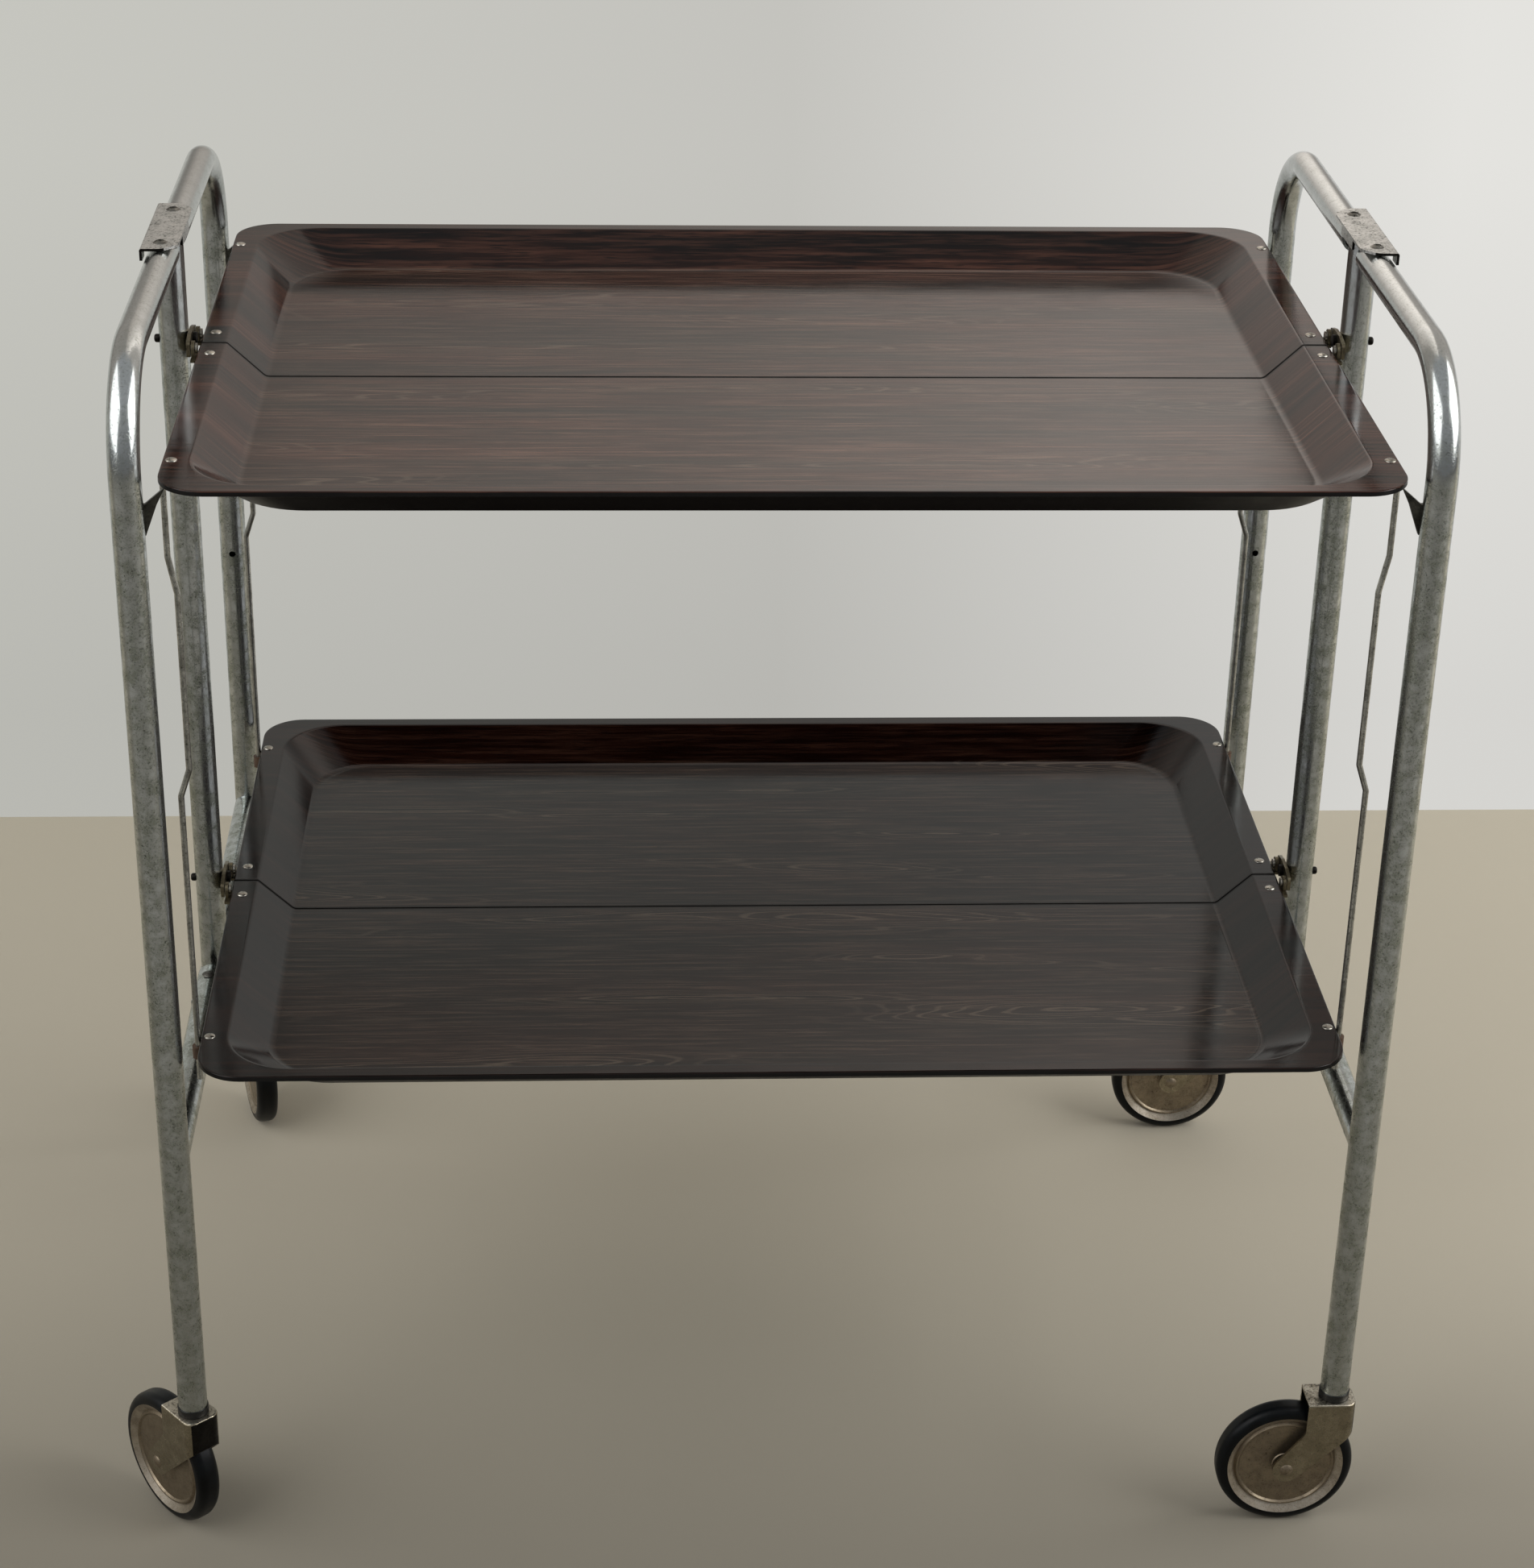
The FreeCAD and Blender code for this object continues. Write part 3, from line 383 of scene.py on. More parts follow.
def tyre_rubber():
    """Moulded black rubber with a faint blue bloom and dust in the mould's fine texture."""
    material, tree, place = new_material("black_tyre_rubber")
    bloom = add(tree, "ShaderNodeTexNoise", {"Vector": place, "Scale": 1 / (9 * MM), "Detail": 4,
                                             "Roughness": 0.6})
    haze = add(tree, "ShaderNodeMapRange", {"Value": bloom, "From Min": 0.36, "From Max": 0.74})
    colour = add(tree, "ShaderNodeMix", {"Factor": haze, "A": linear("#010203"), "B": linear("#060a0d")},
                 data_type="RGBA")
    gloss = add(tree, "ShaderNodeMapRange", {"Value": bloom, "From Min": 0.3, "From Max": 0.7, "To Min": 0.3,
                                             "To Max": 0.46})
    grit = add(tree, "ShaderNodeTexNoise", {"Vector": place, "Scale": 1 / (0.8 * MM), "Detail": 2})
    texture = add(tree, "ShaderNodeBump", {"Height": grit, "Distance": 0.04 * MM, "Strength": 0.5})
    shader = add(tree, "ShaderNodeBsdfPrincipled", {"Base Color": colour, "Roughness": gloss, "Normal": texture,
                                                    "Specular IOR Level": 0.18})
    add(tree, "ShaderNodeOutputMaterial", {"Surface": shader})
    return material


def moulded(name, dark, light, glossy, matt):
    """Moulded plastic or pressed fibre: one colour with a soft mottle and fine surface grain."""
    material, tree, place = new_material(name)
    mottle = add(tree, "ShaderNodeTexNoise", {"Vector": place, "Scale": 1 / (4 * MM), "Detail": 4,
                                              "Roughness": 0.6})
    share = add(tree, "ShaderNodeMapRange", {"Value": mottle, "From Min": 0.35, "From Max": 0.65})
    colour = add(tree, "ShaderNodeMix", {"Factor": share, "A": linear(dark), "B": linear(light)},
                 data_type="RGBA")
    gloss = add(tree, "ShaderNodeMapRange", {"Value": share, "To Min": glossy, "To Max": matt})
    grain = add(tree, "ShaderNodeTexNoise", {"Vector": place, "Scale": 1 / (0.6 * MM)})
    texture = add(tree, "ShaderNodeBump", {"Height": grain, "Distance": 0.03 * MM, "Strength": 0.5})
    shader = add(tree, "ShaderNodeBsdfPrincipled", {"Base Color": colour, "Roughness": gloss,
                                                    "Normal": texture})
    add(tree, "ShaderNodeOutputMaterial", {"Surface": shader})
    return material


def pale_floor():
    """Plain matt floor with the slightest cloudiness and a soft shade in front of the trolley. It has no rear
    side, so that the trolley can be seen from below."""
    material, tree, place = new_material("pale_matt_floor")
    cloud = add(tree, "ShaderNodeTexNoise", {"Vector": place, "Scale": 1 / (900 * MM), "Detail": 3})
    pale = add(tree, "ShaderNodeMix", {"Factor": cloud, "A": linear("#b0a896"), "B": linear("#bab2a1")},
               data_type="RGBA")
    forward = add(tree, "ShaderNodeSeparateXYZ", {"Vector": place}).outputs["Y"]
    behind = add(tree, "ShaderNodeMapRange", {"Value": forward, "From Min": SHADE_REAR[0],
                                              "From Max": SHADE_REAR[1]},
                 interpolation_type="SMOOTHSTEP")
    before = add(tree, "ShaderNodeMapRange", {"Value": forward, "From Min": SHADE_FRONT[0],
                                              "From Max": SHADE_FRONT[1]},
                 interpolation_type="SMOOTHSTEP")
    under = add(tree, "ShaderNodeMix", {"Factor": behind, "A": linear("#7f796c"), "B": pale},
                data_type="RGBA")
    colour = add(tree, "ShaderNodeMix", {"Factor": before, "A": under, "B": linear("#949088")},
                 data_type="RGBA")
    shader = add(tree, "ShaderNodeBsdfPrincipled", {"Base Color": colour, "Roughness": 0.7})
    without_rear(tree, shader)
    return material


def painted_wall():
    """Matt white wall with painted light, brighter at the right and above. The eye and glossy surfaces see it glow
    with this tone, and to other rays it is ordinary paint, so that it adds no light to the trolley. It has no rear
    side, so that the trolley can be seen from behind."""
    material, tree, place = new_material("pale_painted_wall")
    axes = add(tree, "ShaderNodeSeparateXYZ", {"Vector": place}).outputs
    near = add(tree, "ShaderNodeMapRange", {"Value": axes["X"], "From Min": WALL_SHADED[0],
                                            "From Max": WALL_SHADED[1]})
    far = add(tree, "ShaderNodeMapRange", {"Value": axes["X"], "From Min": WALL_LIT[0], "From Max": WALL_LIT[1]})
    shaded = add(tree, "ShaderNodeMix", {"Factor": near, "A": linear("#c6c6bf"), "B": linear("#c4c3be")},
                 data_type="RGBA")
    tone = add(tree, "ShaderNodeMix", {"Factor": far, "A": shaded, "B": linear("#e4e3df")},
               data_type="RGBA")
    # Above the camera's view, where the trays mirror it, the wall glows warm and brightest towards the right:
    # painted light for the trays to reflect
    span = add(tree, "ShaderNodeMapRange", {"Value": axes["X"], "From Min": MIRROR_SPAN[0],
                                            "From Max": MIRROR_SPAN[1]})
    lit = add(tree, "ShaderNodeValToRGB", {"Fac": span})
    stops = lit.color_ramp.elements
    for at, hue in MIRROR_TONES.items():
        stops.new(at).color = linear(hue)
    # A new ramp starts with a stop at each end, which this one doesn't need
    stops.remove(stops[0])
    stops.remove(stops[len(stops) - 1])
    high = add(tree, "ShaderNodeMapRange", {"Value": axes["Z"], "From Min": MIRROR_START[0],
                                            "From Max": MIRROR_START[1]})
    whole = add(tree, "ShaderNodeMix", {"Factor": high, "A": tone, "B": lit}, data_type="RGBA")
    level = add(tree, "ShaderNodeMapRange", {"Value": axes["Z"], "From Min": MIRROR_RISE[0],
                                             "From Max": MIRROR_RISE[1], "To Min": 0.85, "To Max": 1.5})
    low = add(tree, "ShaderNodeMapRange", {"Value": axes["Z"], "From Min": WALL_FOOT[0],
                                           "From Max": WALL_FOOT[1], "To Min": 0.86, "To Max": 1})
    strength = add(tree, "ShaderNodeMix", {"Factor": high, "A": low, "B": level})
    path = add(tree, "ShaderNodeLightPath").outputs
    seen = add(tree, "ShaderNodeMath", {0: path["Is Camera Ray"], 1: path["Is Glossy Ray"]},
               operation="MAXIMUM")
    paint = add(tree, "ShaderNodeBsdfPrincipled", {"Base Color": whole, "Roughness": 0.8})
    # The glow that the eye and glossy rays see is painted light, up to one and a half times white above the trays
    plain = add(tree, "ShaderNodeEmission", {"Color": whole, "Strength": strength})
    surface = add(tree, "ShaderNodeMixShader", {0: seen, 1: paint, 2: plain})
    without_rear(tree, surface)
    return material


LAMINATE = rosewood_laminate()
BACKING_AND_SEAM_SHADE = black_backing()
# Cool silver that mirrors softly, grey-green and speckled where the plate is worn, polished at the handles
TUBE_CHROME = aged_metal("aged_chrome_tube", "#bfc3c3", "#979b92", "#4b4e45",
                         pit_size=1.0 * MM, pit_share=0.06, smooth=0.14, rough=0.32,
                         clean_above=(0.60, 0.69))
# Pale matt grey with dark pits
PLATE_METAL = aged_metal("pitted_plate_steel", "#e4e4e1", "#b9b9b4", "#3a3936",
                         pit_size=1.5 * MM, pit_share=0.09, smooth=0.36, rough=0.55)
# Dull yellow-brown
HINGE_STEEL = aged_metal("bronzed_hinge_steel", "#857c66", "#5a5344", "#1f1b16",
                         pit_size=1.2 * MM, pit_share=0.06, smooth=0.28, rough=0.46)
# Almost black, with a dim shine: the bolt tails' own finish, and painted shade on plate ends and fork backs
BLACKENED_STEEL_AND_SHADE = aged_metal("blackened_bolt_steel", "#2b2926", "#1b1917", "#0c0b0a",
                        pit_size=1.2 * MM, pit_share=0.06, smooth=0.34, rough=0.52)
# Dark grey, with a dim shine
CATCH_STEEL = aged_metal("dark_catch_steel", "#5c5b55", "#3f3e39", "#1c1b18",
                         pit_size=1.2 * MM, pit_share=0.06, smooth=0.28, rough=0.46)
# Mid grey with black grime
PIVOT_STEEL = aged_metal("grimed_pivot_steel", "#8d8b84", "#5c5a54", "#1d1b18",
                         pit_size=1.2 * MM, pit_share=0.08, smooth=0.30, rough=0.50)
# Small bright spots with a warm tint
RIVET_STEEL = aged_metal("plated_rivet_steel", "#bdb9b0", "#938e84", "#4c483f",
                         pit_size=0.9 * MM, pit_share=0.00, smooth=0.20, rough=0.36)
# Light grey with a soft shine
WIRE = aged_metal("dull_steel_wire", "#bdbdb7", "#8d8c85", "#45433d",
                  pit_size=1.4 * MM, pit_share=0.05, smooth=0.22, rough=0.40)
# Warm grey-brown, half glossy
CASTER_STEEL = aged_metal("bronzed_caster_steel", "#9c937f", "#807763", "#433c2f",
                          pit_size=1.0 * MM, pit_share=0.03, smooth=0.22, rough=0.40)
# Warm brown and nearly matt
WHEEL_STEEL = aged_metal("bronzed_wheel_steel", "#928673", "#7e7261", "#433b2e",
                         pit_size=1.2 * MM, pit_share=0.03, smooth=0.36, rough=0.54)
# Lighter and greyer than the disc inside it
FLANGE_STEEL = aged_metal("worn_wheel_flange", "#b6ac9d", "#958b7c", "#554d41",
                          pit_size=0.9 * MM, pit_share=0.04, smooth=0.34, rough=0.50)
# Painted highlight for the fork's top faces: light, with dark specks
FORK_TOP_HIGHLIGHT = aged_metal("rubbed_fork_top", "#d0cabb", "#988f7f", "#29241d",
                            pit_size=1.4 * MM, pit_share=0.12, smooth=0.26, rough=0.48)
RUBBER = tyre_rubber()
# Matt brown
FIBRE = moulded("brown_fibre", "#3a281c", "#57402f", glossy=0.5, matt=0.65)
# Black with a faint shine
BLACK_PLASTIC = moulded("black_socket_plastic", "#050505", "#0d0d0d", glossy=0.35, matt=0.5)
FINISHES = {
    "post": TUBE_CHROME, "stretcher": TUBE_CHROME, "handle_plate": PLATE_METAL, "foot_plate": PLATE_METAL,
    "handle_pivot": PIVOT_STEEL, "foot_pivot": PIVOT_STEEL, "hinge_brackets": HINGE_STEEL,
    "bracket_bolts": BLACKENED_STEEL_AND_SHADE, "hinge_pins": RIVET_STEEL, "upper": HINGE_STEEL, "lower": HINGE_STEEL,
    "front_rod_clips": FIBRE, "back_rod_clips": FIBRE, "catch": CATCH_STEEL, "caster_socket": BLACK_PLASTIC,
    "caster_fork": CASTER_STEEL, "caster_axle": WHEEL_STEEL, "wheel_disc": WHEEL_STEEL, "wheel_tyre": RUBBER,
}


# Node trees for what follows a path or repeats

def new_tree(name, inputs):
    """An empty geometry tree with named inputs, and those inputs."""
    tree = bpy.data.node_groups.new(name, "GeometryNodeTree")
    tree.interface.new_socket("Geometry", in_out="INPUT", socket_type="NodeSocketGeometry")
    for label, kind in inputs.items():
        tree.interface.new_socket(label, in_out="INPUT", socket_type=kind)
    tree.interface.new_socket("Geometry", in_out="OUTPUT", socket_type="NodeSocketGeometry")
    return tree, add(tree, "NodeGroupInput").outputs


def close_tree(tree, given, geometry):
    """Ends a tree: real geometry, with its material."""
    real = add(tree, "GeometryNodeRealizeInstances", {"Geometry": geometry})
    dressed = add(tree, "GeometryNodeSetMaterial", {"Geometry": real, "Material": given["Material"]})
    add(tree, "NodeGroupOutput", {"Geometry": dressed})
    return tree


def bent_bar_tree():
    """A round bar or tube along a line of points, with the same bend at each corner."""
    tree, given = new_tree("bent_bar", {
        "Bend radius": "NodeSocketFloat", "Bar radius": "NodeSocketFloat", "Facets": "NodeSocketInt",
        "Closed ends": "NodeSocketBool", "Material": "NodeSocketMaterial"})
    route = add(tree, "GeometryNodeMeshToCurve", {"Mesh": given["Geometry"]})
    bent = add(tree, "GeometryNodeFilletCurve", {"Curve": route, "Radius": given["Bend radius"],
                                                 "Count": BAR_BEND_STEPS, "Limit Radius": True}, mode="POLY")
    ring = add(tree, "GeometryNodeCurvePrimitiveCircle", {"Radius": given["Bar radius"],
                                                          "Resolution": given["Facets"]})
    bar = add(tree, "GeometryNodeCurveToMesh", {"Curve": bent, "Profile Curve": ring,
                                                "Fill Caps": given["Closed ends"]})
    return close_tree(tree, given, bar)


def rivet_tree():
    """Rivets at points: a domed head above, a shank, and the same dome formed below the grip."""
    tree, given = new_tree("through_rivets", {
        "Head radius": "NodeSocketFloat", "Rise": "NodeSocketFloat", "Shank radius": "NodeSocketFloat",
        "Grip": "NodeSocketFloat", "Material": "NodeSocketMaterial"})
    ball = add(tree, "GeometryNodeMeshUVSphere", {"Segments": DOME_FACETS, "Rings": DOME_RINGS, "Radius": 1})
    dome = add(tree, "ShaderNodeCombineXYZ", {"X": given["Head radius"], "Y": given["Head radius"],
                                              "Z": given["Rise"]})
    down = add(tree, "ShaderNodeMath", {0: given["Grip"], 1: -1}, operation="MULTIPLY")
    half_down = add(tree, "ShaderNodeMath", {0: down, 1: 0.5}, operation="MULTIPLY")
    tail_place = add(tree, "ShaderNodeCombineXYZ", {"Z": down})
    pin_place = add(tree, "ShaderNodeCombineXYZ", {"Z": half_down})
    head = add(tree, "GeometryNodeTransform", {"Geometry": ball, "Scale": dome})
    tail = add(tree, "GeometryNodeTransform", {"Geometry": ball, "Scale": dome, "Translation": tail_place})
    pin = add(tree, "GeometryNodeMeshCylinder", {"Vertices": SHANK_FACETS, "Radius": given["Shank radius"],
                                                 "Depth": given["Grip"]})
    shank = add(tree, "GeometryNodeTransform", {"Geometry": pin, "Translation": pin_place})
    whole = add(tree, "GeometryNodeJoinGeometry", {"Geometry": head})
    for part in (tail, shank):
        tree.links.new(part.outputs[0], whole.inputs[0])
    copies = add(tree, "GeometryNodeInstanceOnPoints", {"Points": given["Geometry"], "Instance": whole})
    return close_tree(tree, given, copies)


def baked(piece):
    """Turns a piece's modifiers into a plain mesh and removes them."""
    bpy.context.view_layer.update()
    mesh = bpy.data.meshes.new_from_object(piece.evaluated_get(bpy.context.evaluated_depsgraph_get()))
    piece.modifiers.clear()
    piece.data = mesh


def grown(name, routes, tree, values, wall=0.0):
    """Grows a piece with a node tree on rows of joined points and bakes it to a plain mesh."""
    points = [tuple(p) for route in routes for p in route]
    links = []
    start = 0
    for route in routes:
        links += [(start + k, start + k + 1) for k in range(len(route) - 1)]
        start += len(route)
    base = bpy.data.meshes.new(name)
    base.from_pydata(points, links, [])
    piece = new_object(name, base)
    grow = piece.modifiers.new("grow", "NODES")
    grow.node_group = tree
    for item in tree.interface.items_tree:
        if item.in_out == "INPUT" and item.name in values:
            grow[item.identifier] = values[item.name]
    baked(piece)
    work = bmesh.new()
    work.from_mesh(piece.data)
    bmesh.ops.remove_doubles(work, verts=work.verts, dist=SAME_POINT)
    bmesh.ops.recalc_face_normals(work, faces=work.faces)
    if wall:
        bmesh.ops.solidify(work, geom=work.faces, thickness=wall)
    work.to_mesh(piece.data)
    work.free()
    shade(piece.data, BAR_SHARP)
    return piece


BENT_BAR = bent_bar_tree()
RIVETS = rivet_tree()


# Tube frame

def tube(node, route, bend=0.0):
    """A chrome tube along a route, in place of its CAD node."""
    values = {"Bend radius": bend, "Bar radius": TUBE_RADIUS, "Facets": TUBE_FACETS, "Closed ends": False,
              "Material": TUBE_CHROME}
    return grown(node + "_tube", [route], BENT_BAR, values, wall=TUBE_WALL)


def drill_leg(piece, x, leg_y):
    """Drills the small hole in the inner side of a leg."""
    work = bmesh.new()
    turn = Matrix.Rotation(math.pi / 2, 4, "X")
    place = Matrix.Translation((x, leg_y - math.copysign(TUBE_RADIUS, leg_y), DRILLING_HEIGHT))
    bmesh.ops.create_cone(work, cap_ends=True, segments=DRILL_FACETS, radius1=DRILLING_RADIUS,
                          radius2=DRILLING_RADIUS, depth=TUBE_RADIUS, matrix=place @ turn)
    mesh = bpy.data.meshes.new("leg_drill")
    work.to_mesh(mesh)
    work.free()
    drill = new_object("leg_drill", mesh)
    cut = piece.modifiers.new("drill", "BOOLEAN")
    cut.object = drill
    baked(piece)
    shade(piece.data, BAR_SHARP)
    bpy.data.objects.remove(drill)


def tube_frame():
    """Posts and gates."""
    for end, sx in ENDS.items():
        x = sx * END_REACH
        post = f"post_{end}"
        stands_for(tube(post, [(x, 0, post_low.z), (x, 0, post_high.z)]), post)
        for side, sy in SIDES.items():
            leg_y = sy * LEG_REACH
            gate = f"gate_tube_{side}_{end}"
            piece = tube(gate, [(x, sy * gate_low.y, HANDLE_HEIGHT), (x, leg_y, HANDLE_HEIGHT),
                                (x, leg_y, gate_low.z)], HANDLE_BEND)
            drill_leg(piece, x, leg_y)
            stands_for(piece, gate)


# Trays

def half_ring(half_x, half_y, corner, z):
    """Half a rounded rectangle behind the seam, from the right end of the seam round to the left one."""
    points = [Vector((half_x, SEAM, z)), Vector((half_x, SEAM + SEAM_SHADE_BAND, z))]
    for k in range(1, TRAY_SIDE_STEPS):
        points.append(Vector((half_x, SEAM + (half_y - corner - SEAM) * k / TRAY_SIDE_STEPS, z)))
    for k in range(TRAY_CORNER_STEPS + 1):
        turn = math.pi / 2 * k / TRAY_CORNER_STEPS
        points.append(Vector((half_x - corner + corner * math.cos(turn),
                              half_y - corner + corner * math.sin(turn), z)))
    other = [Vector((-p.x, p.y, p.z)) for p in reversed(points)]
    return points + other


def tray_sections():
    """Rings of the tray's upper and lower face, as (half length, half width, corner radius, height)."""
    slope = math.atan2(RECESS_DEPTH, WALL_RUN)

    def at_wall(run, z):
        corner = RECESS_CORNER + (FLOOR_CORNER - RECESS_CORNER) * run / WALL_RUN
        return (TRAY_END - END_RIM - run, TRAY_SIDE - SIDE_RIM - run, corner, z)

    def at_edge(inset, z):
        return (TRAY_END - inset, TRAY_SIDE - inset, OUTER_CORNER - inset, z)

    def arc(radius, centre_run, centre_z, first, last):
        turns = [first + (last - first) * k / SHEET_BEND_STEPS for k in range(SHEET_BEND_STEPS + 1)]
        return [at_wall(centre_run + radius * math.sin(t), centre_z + radius * math.cos(t)) for t in turns]

    rim_reach = RIM_ROUND * math.tan(slope / 2)
    floor_reach = FLOOR_ROUND * math.tan(slope / 2)
    upper = []
    for k in range(SHEET_EDGE_STEPS + 1):
        turn = math.pi / 2 * k / SHEET_EDGE_STEPS
        upper.append(at_edge(EDGE_ROUND * (1 - math.cos(turn)), EDGE_ROUND * (math.sin(turn) - 1)))
    upper.append(at_edge(EDGE_ROUND + FLAT_HOLD, 0))
    upper.append(at_wall(-rim_reach - FLAT_HOLD, 0))
    upper += arc(RIM_ROUND, -rim_reach, -RIM_ROUND, 0, slope)
    upper += arc(-FLOOR_ROUND, WALL_RUN + floor_reach, FLOOR_ROUND - RECESS_DEPTH, slope, 0)
    upper.append(at_wall(WALL_RUN + floor_reach + FLAT_HOLD, -RECESS_DEPTH))
    # The lower face runs one sheet below, with a plain corner under the rim
    corner_run = -SHEET * math.tan(slope / 2)
    lower = [at_edge(0, -SHEET), at_wall(corner_run - FLAT_HOLD, -SHEET), at_wall(corner_run, -SHEET)]
    lower += arc(-FLOOR_ROUND - SHEET, WALL_RUN + floor_reach, FLOOR_ROUND - RECESS_DEPTH, slope, 0)
    lower.append(at_wall(WALL_RUN + floor_reach + FLAT_HOLD, -RECESS_DEPTH - SHEET))
    return upper, lower


def leaf(tray, side):
    """One half of a tray: laminate above, black backing below and on the cut edges, and black backing on the strips
    beside the seam as painted shade of the gap between the leaves.
    """
    node = f"{tray}_{side}_leaf"
    laminate, backing = 0, 1    # material slots
    upper, lower = tray_sections()
    work = bmesh.new()

    def rows_of(sections):
        return [[work.verts.new((p.x, SIDES[side] * p.y, p.z + RIM_HEIGHT[tray])) for p in half_ring(*s)]
                for s in sections]

    def skin(rows, finish):
        for near, far in zip(rows, rows[1:]):
            last = len(near) - 2
            for k in range(last + 1):
                face = work.faces.new((near[k], near[k + 1], far[k + 1], far[k]))
                # The strips beside the seam are black backing: painted shade of the gap between the leaves
                face.material_index = backing if k in (0, last) else finish

    top = rows_of(upper)
    under = rows_of(lower)
    skin(top, laminate)
    skin(under, backing)
    skin([top[0], under[0]], backing)
    floor = top[-1]
    work.faces.new(floor[1:-1]).material_index = laminate
    # The floor's strip beside the seam is black backing too: painted shade of the gap
    work.faces.new((floor[0], floor[1], floor[-2], floor[-1])).material_index = backing
    work.faces.new(under[-1]).material_index = backing
    seam_loop = [row[0] for row in top] + [row[-1] for row in reversed(top)]
    seam_loop += [row[-1] for row in under] + [row[0] for row in reversed(under)]
    work.faces.new(seam_loop).material_index = backing
    bmesh.ops.recalc_face_normals(work, faces=work.faces)
    mesh = bpy.data.meshes.new(node + "_sheet")
    work.to_mesh(mesh)
    work.free()
    shade(mesh, SHEET_SHARP)
    mesh.materials.append(LAMINATE)
    mesh.materials.append(BACKING_AND_SEAM_SHADE)
    stands_for(new_object(node + "_sheet", mesh), node)


def leaf_rivets(tray, side):
    """The rivets through the rim of a leaf, for its hinge lugs and rod lugs."""
    node = f"{tray}_{side}_rivets"
    spots = [((sx * (TRAY_END - inset), SIDES[side] * reach, RIM_HEIGHT[tray]),) for sx in ENDS.values()
             for inset, reach in ((HINGE_RIVET_INSET, HINGE_RIVET_REACH), (ROD_RIVET_INSET, ROD_REACH))]
    values = {"Head radius": RIVET_HEAD_RADIUS, "Rise": RIVET_RISE, "Shank radius": RIVET_RADIUS,
              "Grip": RIVET_GRIP, "Material": RIVET_STEEL}
    stands_for(grown(node + "_domed", spots, RIVETS, values), node)


def tie_rods(side):
    """The bent wires from the upper leaf to the lower one, at both ends."""
    node = f"{side}_tie_rods"
    y = SIDES[side] * ROD_REACH
    top = RIM_HEIGHT["upper"] - ROD_PIN_DROP
    upper_jog = top - ROD_UPPER_RUN
    lower_jog = RIM_HEIGHT["lower"] - ROD_PIN_DROP + ROD_LOWER_RUN
    routes = [[
        (sx * (TRAY_END - ROD_PIN_INSET), y, top),
        (sx * (TRAY_END + ROD_UPPER_OUTSET), y, top),
        (sx * (TRAY_END + ROD_UPPER_OUTSET), y, upper_jog),
        (sx * (TRAY_END - ROD_MIDDLE_INSET), y, upper_jog - ROD_UPPER_JOG),
        (sx * (TRAY_END - ROD_MIDDLE_INSET), y, lower_jog + ROD_LOWER_JOG),
        (sx * (TRAY_END + ROD_LOWER_OUTSET), y, lower_jog),
        (sx * (TRAY_END + ROD_LOWER_OUTSET), y, rods_low.z),
    ] for sx in ENDS.values()]
    values = {"Bend radius": ROD_BEND, "Bar radius": ROD_RADIUS, "Facets": WIRE_FACETS, "Closed ends": True,
              "Material": WIRE}
    stands_for(grown(node + "_wire", routes, BENT_BAR, values), node)


def trays():
    """The four leaves with their rivets, and the rods between them."""
    for side in SIDES:
        for tray in TRAYS:
            leaf(tray, side)
            leaf_rivets(tray, side)
        tie_rods(side)


# Pieces whose CAD shape stays, smoothed

def smoothed(node, finish):
    """A smooth-shaded copy of a CAD node's solid, in its place."""
    mesh = NODES[node].data.copy()
    for attribute in [a for a in mesh.attributes if a.name == "custom_normal"]:
        mesh.attributes.remove(attribute)
    work = bmesh.new()
    work.from_mesh(mesh)
    bmesh.ops.remove_doubles(work, verts=work.verts, dist=SAME_CAD_POINT)
    work.to_mesh(mesh)
    work.free()
    shade(mesh, CAD_SHARP)
    mesh.materials.clear()
    mesh.materials.append(finish)
    piece = new_object(node + "_skin", mesh)
    stands_for(piece, node)
    return piece


def wheel_flange(piece, spin):
    """Gives the sloped flange of a wheel its lighter, greyer finish."""
    centre = Vector(spin["pos_m"])
    axle = Vector(spin["axis"]).normalized()
    piece.data.materials.append(FLANGE_STEEL)
    for face in piece.data.polygons:
        arm = face.center - centre
        if (arm - arm.dot(axle) * axle).length > FLANGE_START:
            face.material_index = 1


def shade_plate_ends(piece):
    """Paints the cut ends of a handle plate dark: painted shade of the gap under the plate's edge."""
    piece.data.materials.append(BLACKENED_STEEL_AND_SHADE)
    for face in piece.data.polygons:
        if abs(face.normal.y) > FACING:
            face.material_index = 1


def fork_light_and_shade(piece, swivel, spin):
    """Paints a caster fork's top faces light, a painted highlight, and its back faces dark, painted shade."""
    # The top faces take the painted highlight and the back faces the painted shade
    rubbed, grimed = 1, 2       # material slots
    rearward = (Vector(swivel["pos_m"]) - Vector(spin["pos_m"])).to_2d().normalized().to_3d()
    piece.data.materials.append(FORK_TOP_HIGHLIGHT)
    piece.data.materials.append(BLACKENED_STEEL_AND_SHADE)
    for face in piece.data.polygons:
        if face.normal.z > FACING:
            face.material_index = rubbed
        elif face.normal.dot(rearward) > FACING:
            face.material_index = grimed


def small_pieces():
    """Every CAD node that no piece stands for yet, with its finish."""
    taken = {node for piece in bpy.data.objects for node in piece.get("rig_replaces", [])}
    for node in sorted(set(SLOTS) - taken):
        finish = next(f for start, f in FINISHES.items() if node.startswith(start))
        piece = smoothed(node, finish)
        if node.startswith("wheel_disc"):
            wheel_flange(piece, JOINTS[node.replace("wheel_disc", "wheel") + "_spin"])
        if node.startswith("handle_plate"):
            shade_plate_ends(piece)
        if node.startswith("caster_fork"):
            corner = node.replace("caster_fork_", "")
            fork_light_and_shade(piece, JOINTS[f"caster_{corner}_swivel"], JOINTS[f"wheel_{corner}_spin"])


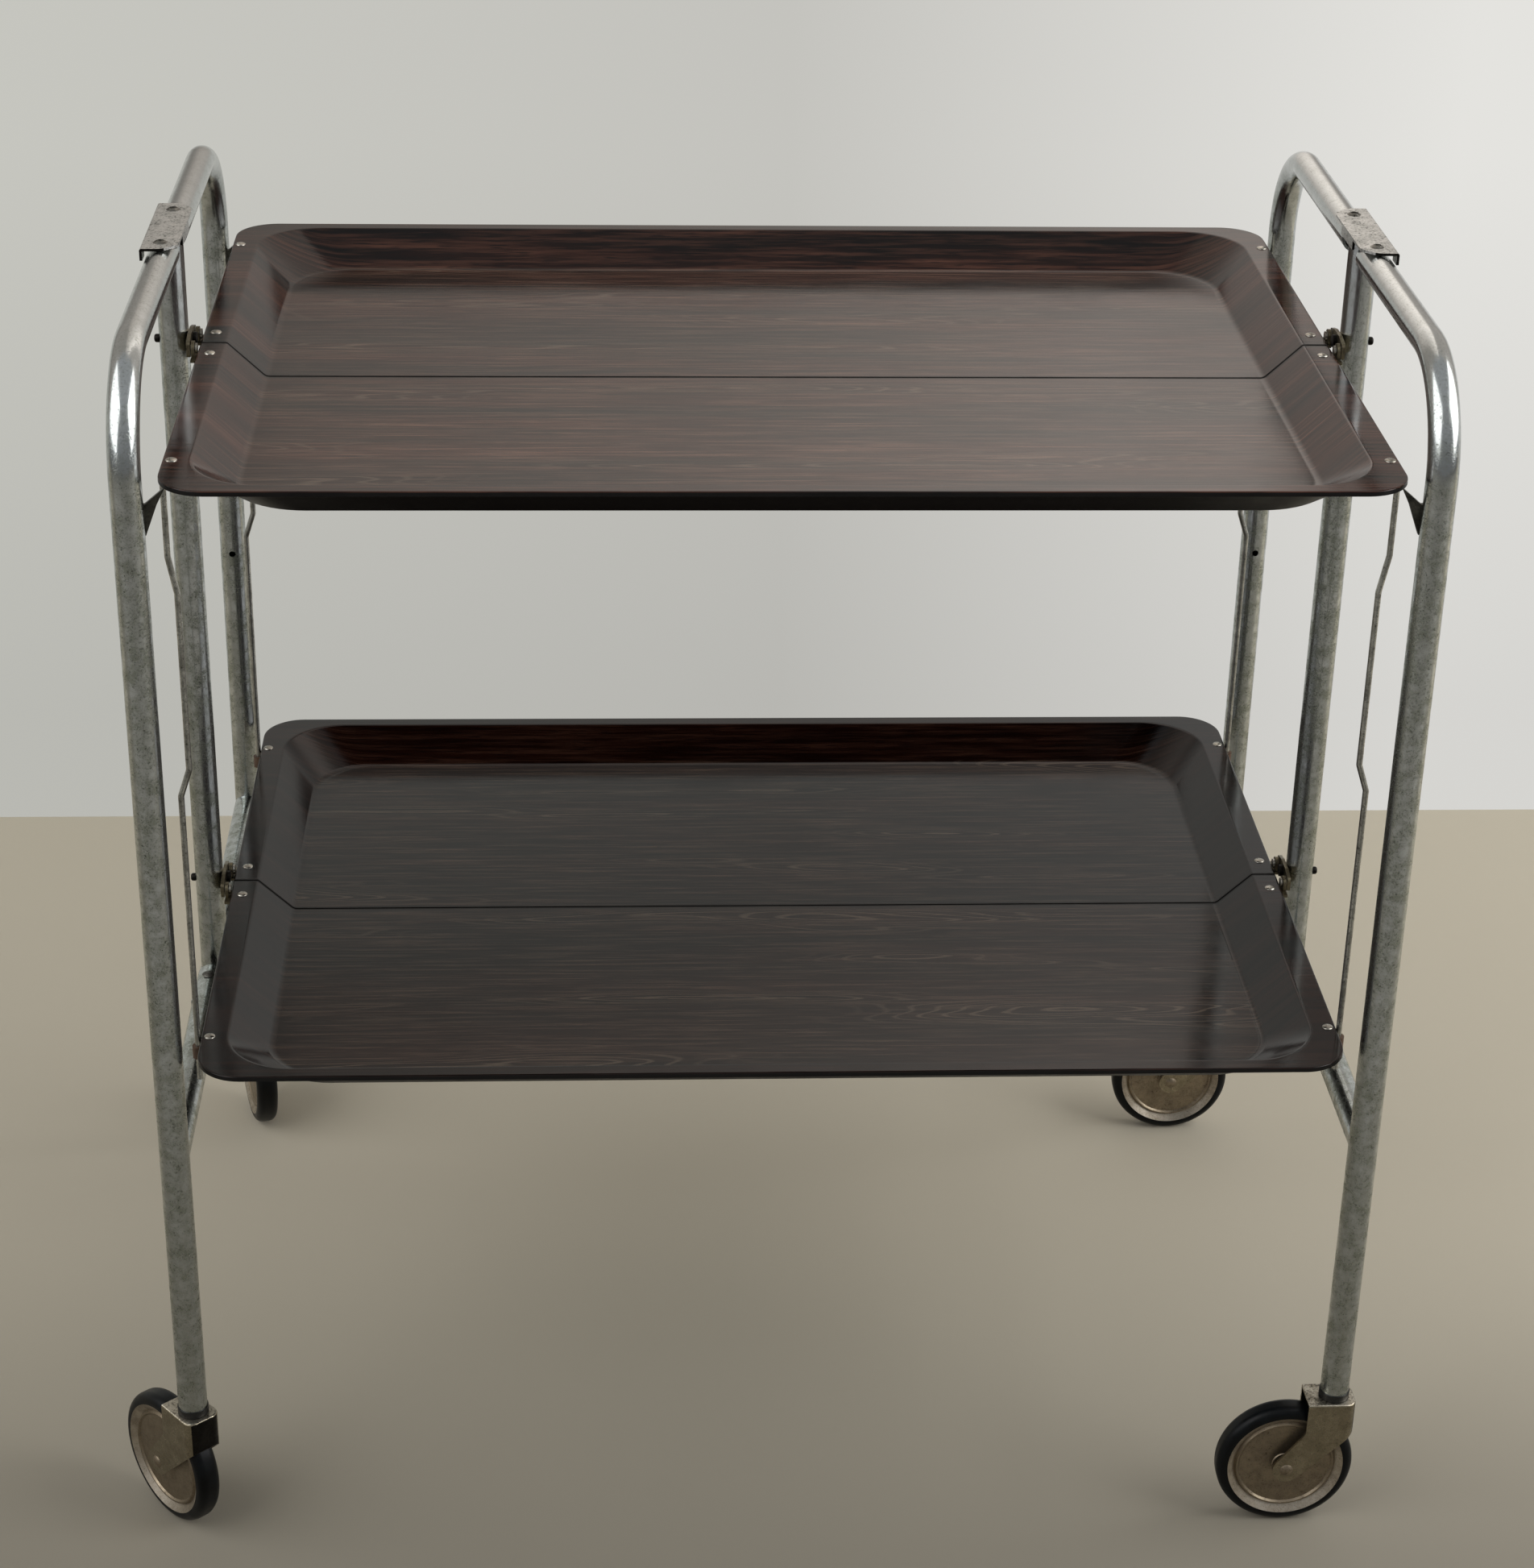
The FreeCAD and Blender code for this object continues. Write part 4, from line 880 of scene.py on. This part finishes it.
# Stage, light and camera

def soft_box(name, place, aim, size, watts):
    """A large soft lamp."""
    lamp = bpy.data.lights.new(name, "AREA")
    lamp.shape = "RECTANGLE"
    lamp.size, lamp.size_y = size
    lamp.energy = watts
    holder = bpy.data.objects.new(name, lamp)
    holder.location = place
    holder.rotation_euler = (Vector(aim) - Vector(place)).to_track_quat("-Z", "Y").to_euler()
    bpy.context.scene.collection.objects.link(holder)


def stage():
    """A pale floor with a wall behind it, and soft light from both sides."""
    left, right = -STAGE_HALF_WIDTH, STAGE_HALF_WIDTH
    sheets = {
        "floor": ([(left, FLOOR_FRONT, 0), (right, FLOOR_FRONT, 0), (right, FLOOR_REAR, 0),
                   (left, FLOOR_REAR, 0)], pale_floor()),
        "wall": ([(left, WALL_Y, 0), (right, WALL_Y, 0), (right, WALL_Y, WALL_HEIGHT),
                  (left, WALL_Y, WALL_HEIGHT)], painted_wall()),
    }
    for name, (corners, finish) in sheets.items():
        mesh = bpy.data.meshes.new(name)
        mesh.from_pydata(corners, [], [(0, 1, 2, 3)])
        mesh.materials.append(finish)
        new_object(name, mesh)
    world = bpy.data.worlds.new("soft_room")
    bpy.context.scene.world = world
    world.use_nodes = True
    tree = world.node_tree
    tree.nodes.clear()
    way = add(tree, "ShaderNodeTexCoord").outputs["Generated"]
    upward = add(tree, "ShaderNodeSeparateXYZ", {"Vector": way}).outputs["Z"]
    level = add(tree, "ShaderNodeMapRange", {"Value": upward, "From Min": 0, "From Max": 0.9,
                                             "To Min": 0.25, "To Max": 0.5})
    room = add(tree, "ShaderNodeBackground", {"Color": linear("#eef0f2"), "Strength": level})
    add(tree, "ShaderNodeOutputWorld", {"Surface": room})
    soft_box("window", place=(-2.3, -1.0, 2.1), aim=(0.1, 0.1, 0.3), size=(3.2, 2.6), watts=55)
    soft_box("far_window", place=(2.4, -0.2, 1.7), aim=(0.5, 0.2, 0.1), size=(2.8, 2.2), watts=75)


def camera():
    """The camera at the photograph's place."""
    yaw, pitch, roll = (math.radians(a) for a in (CAMERA_YAW, CAMERA_PITCH, CAMERA_ROLL))
    ahead = Vector((math.sin(yaw) * math.cos(pitch), math.cos(yaw) * math.cos(pitch), -math.sin(pitch)))
    level = Vector((math.cos(yaw), -math.sin(yaw), 0))
    upright = level.cross(ahead)
    right = math.cos(roll) * level + math.sin(roll) * upright
    up = math.cos(roll) * upright - math.sin(roll) * level
    view = bpy.data.cameras.new("photo_view")
    view.sensor_fit = "HORIZONTAL"
    view.sensor_width = SENSOR_WIDTH
    view.lens = FOCAL_PIXELS * SENSOR_WIDTH / PHOTO_WIDTH
    holder = bpy.data.objects.new("photo_view", view)
    turn = Matrix((right, up, -ahead)).transposed().to_4x4()
    holder.matrix_world = Matrix.Translation(CAMERA_PLACE) @ turn
    bpy.context.scene.collection.objects.link(holder)
    bpy.context.scene.camera = holder


tube_frame()
trays()
small_pieces()
stage()
camera()
bpy.context.scene.view_settings.view_transform = "Standard"
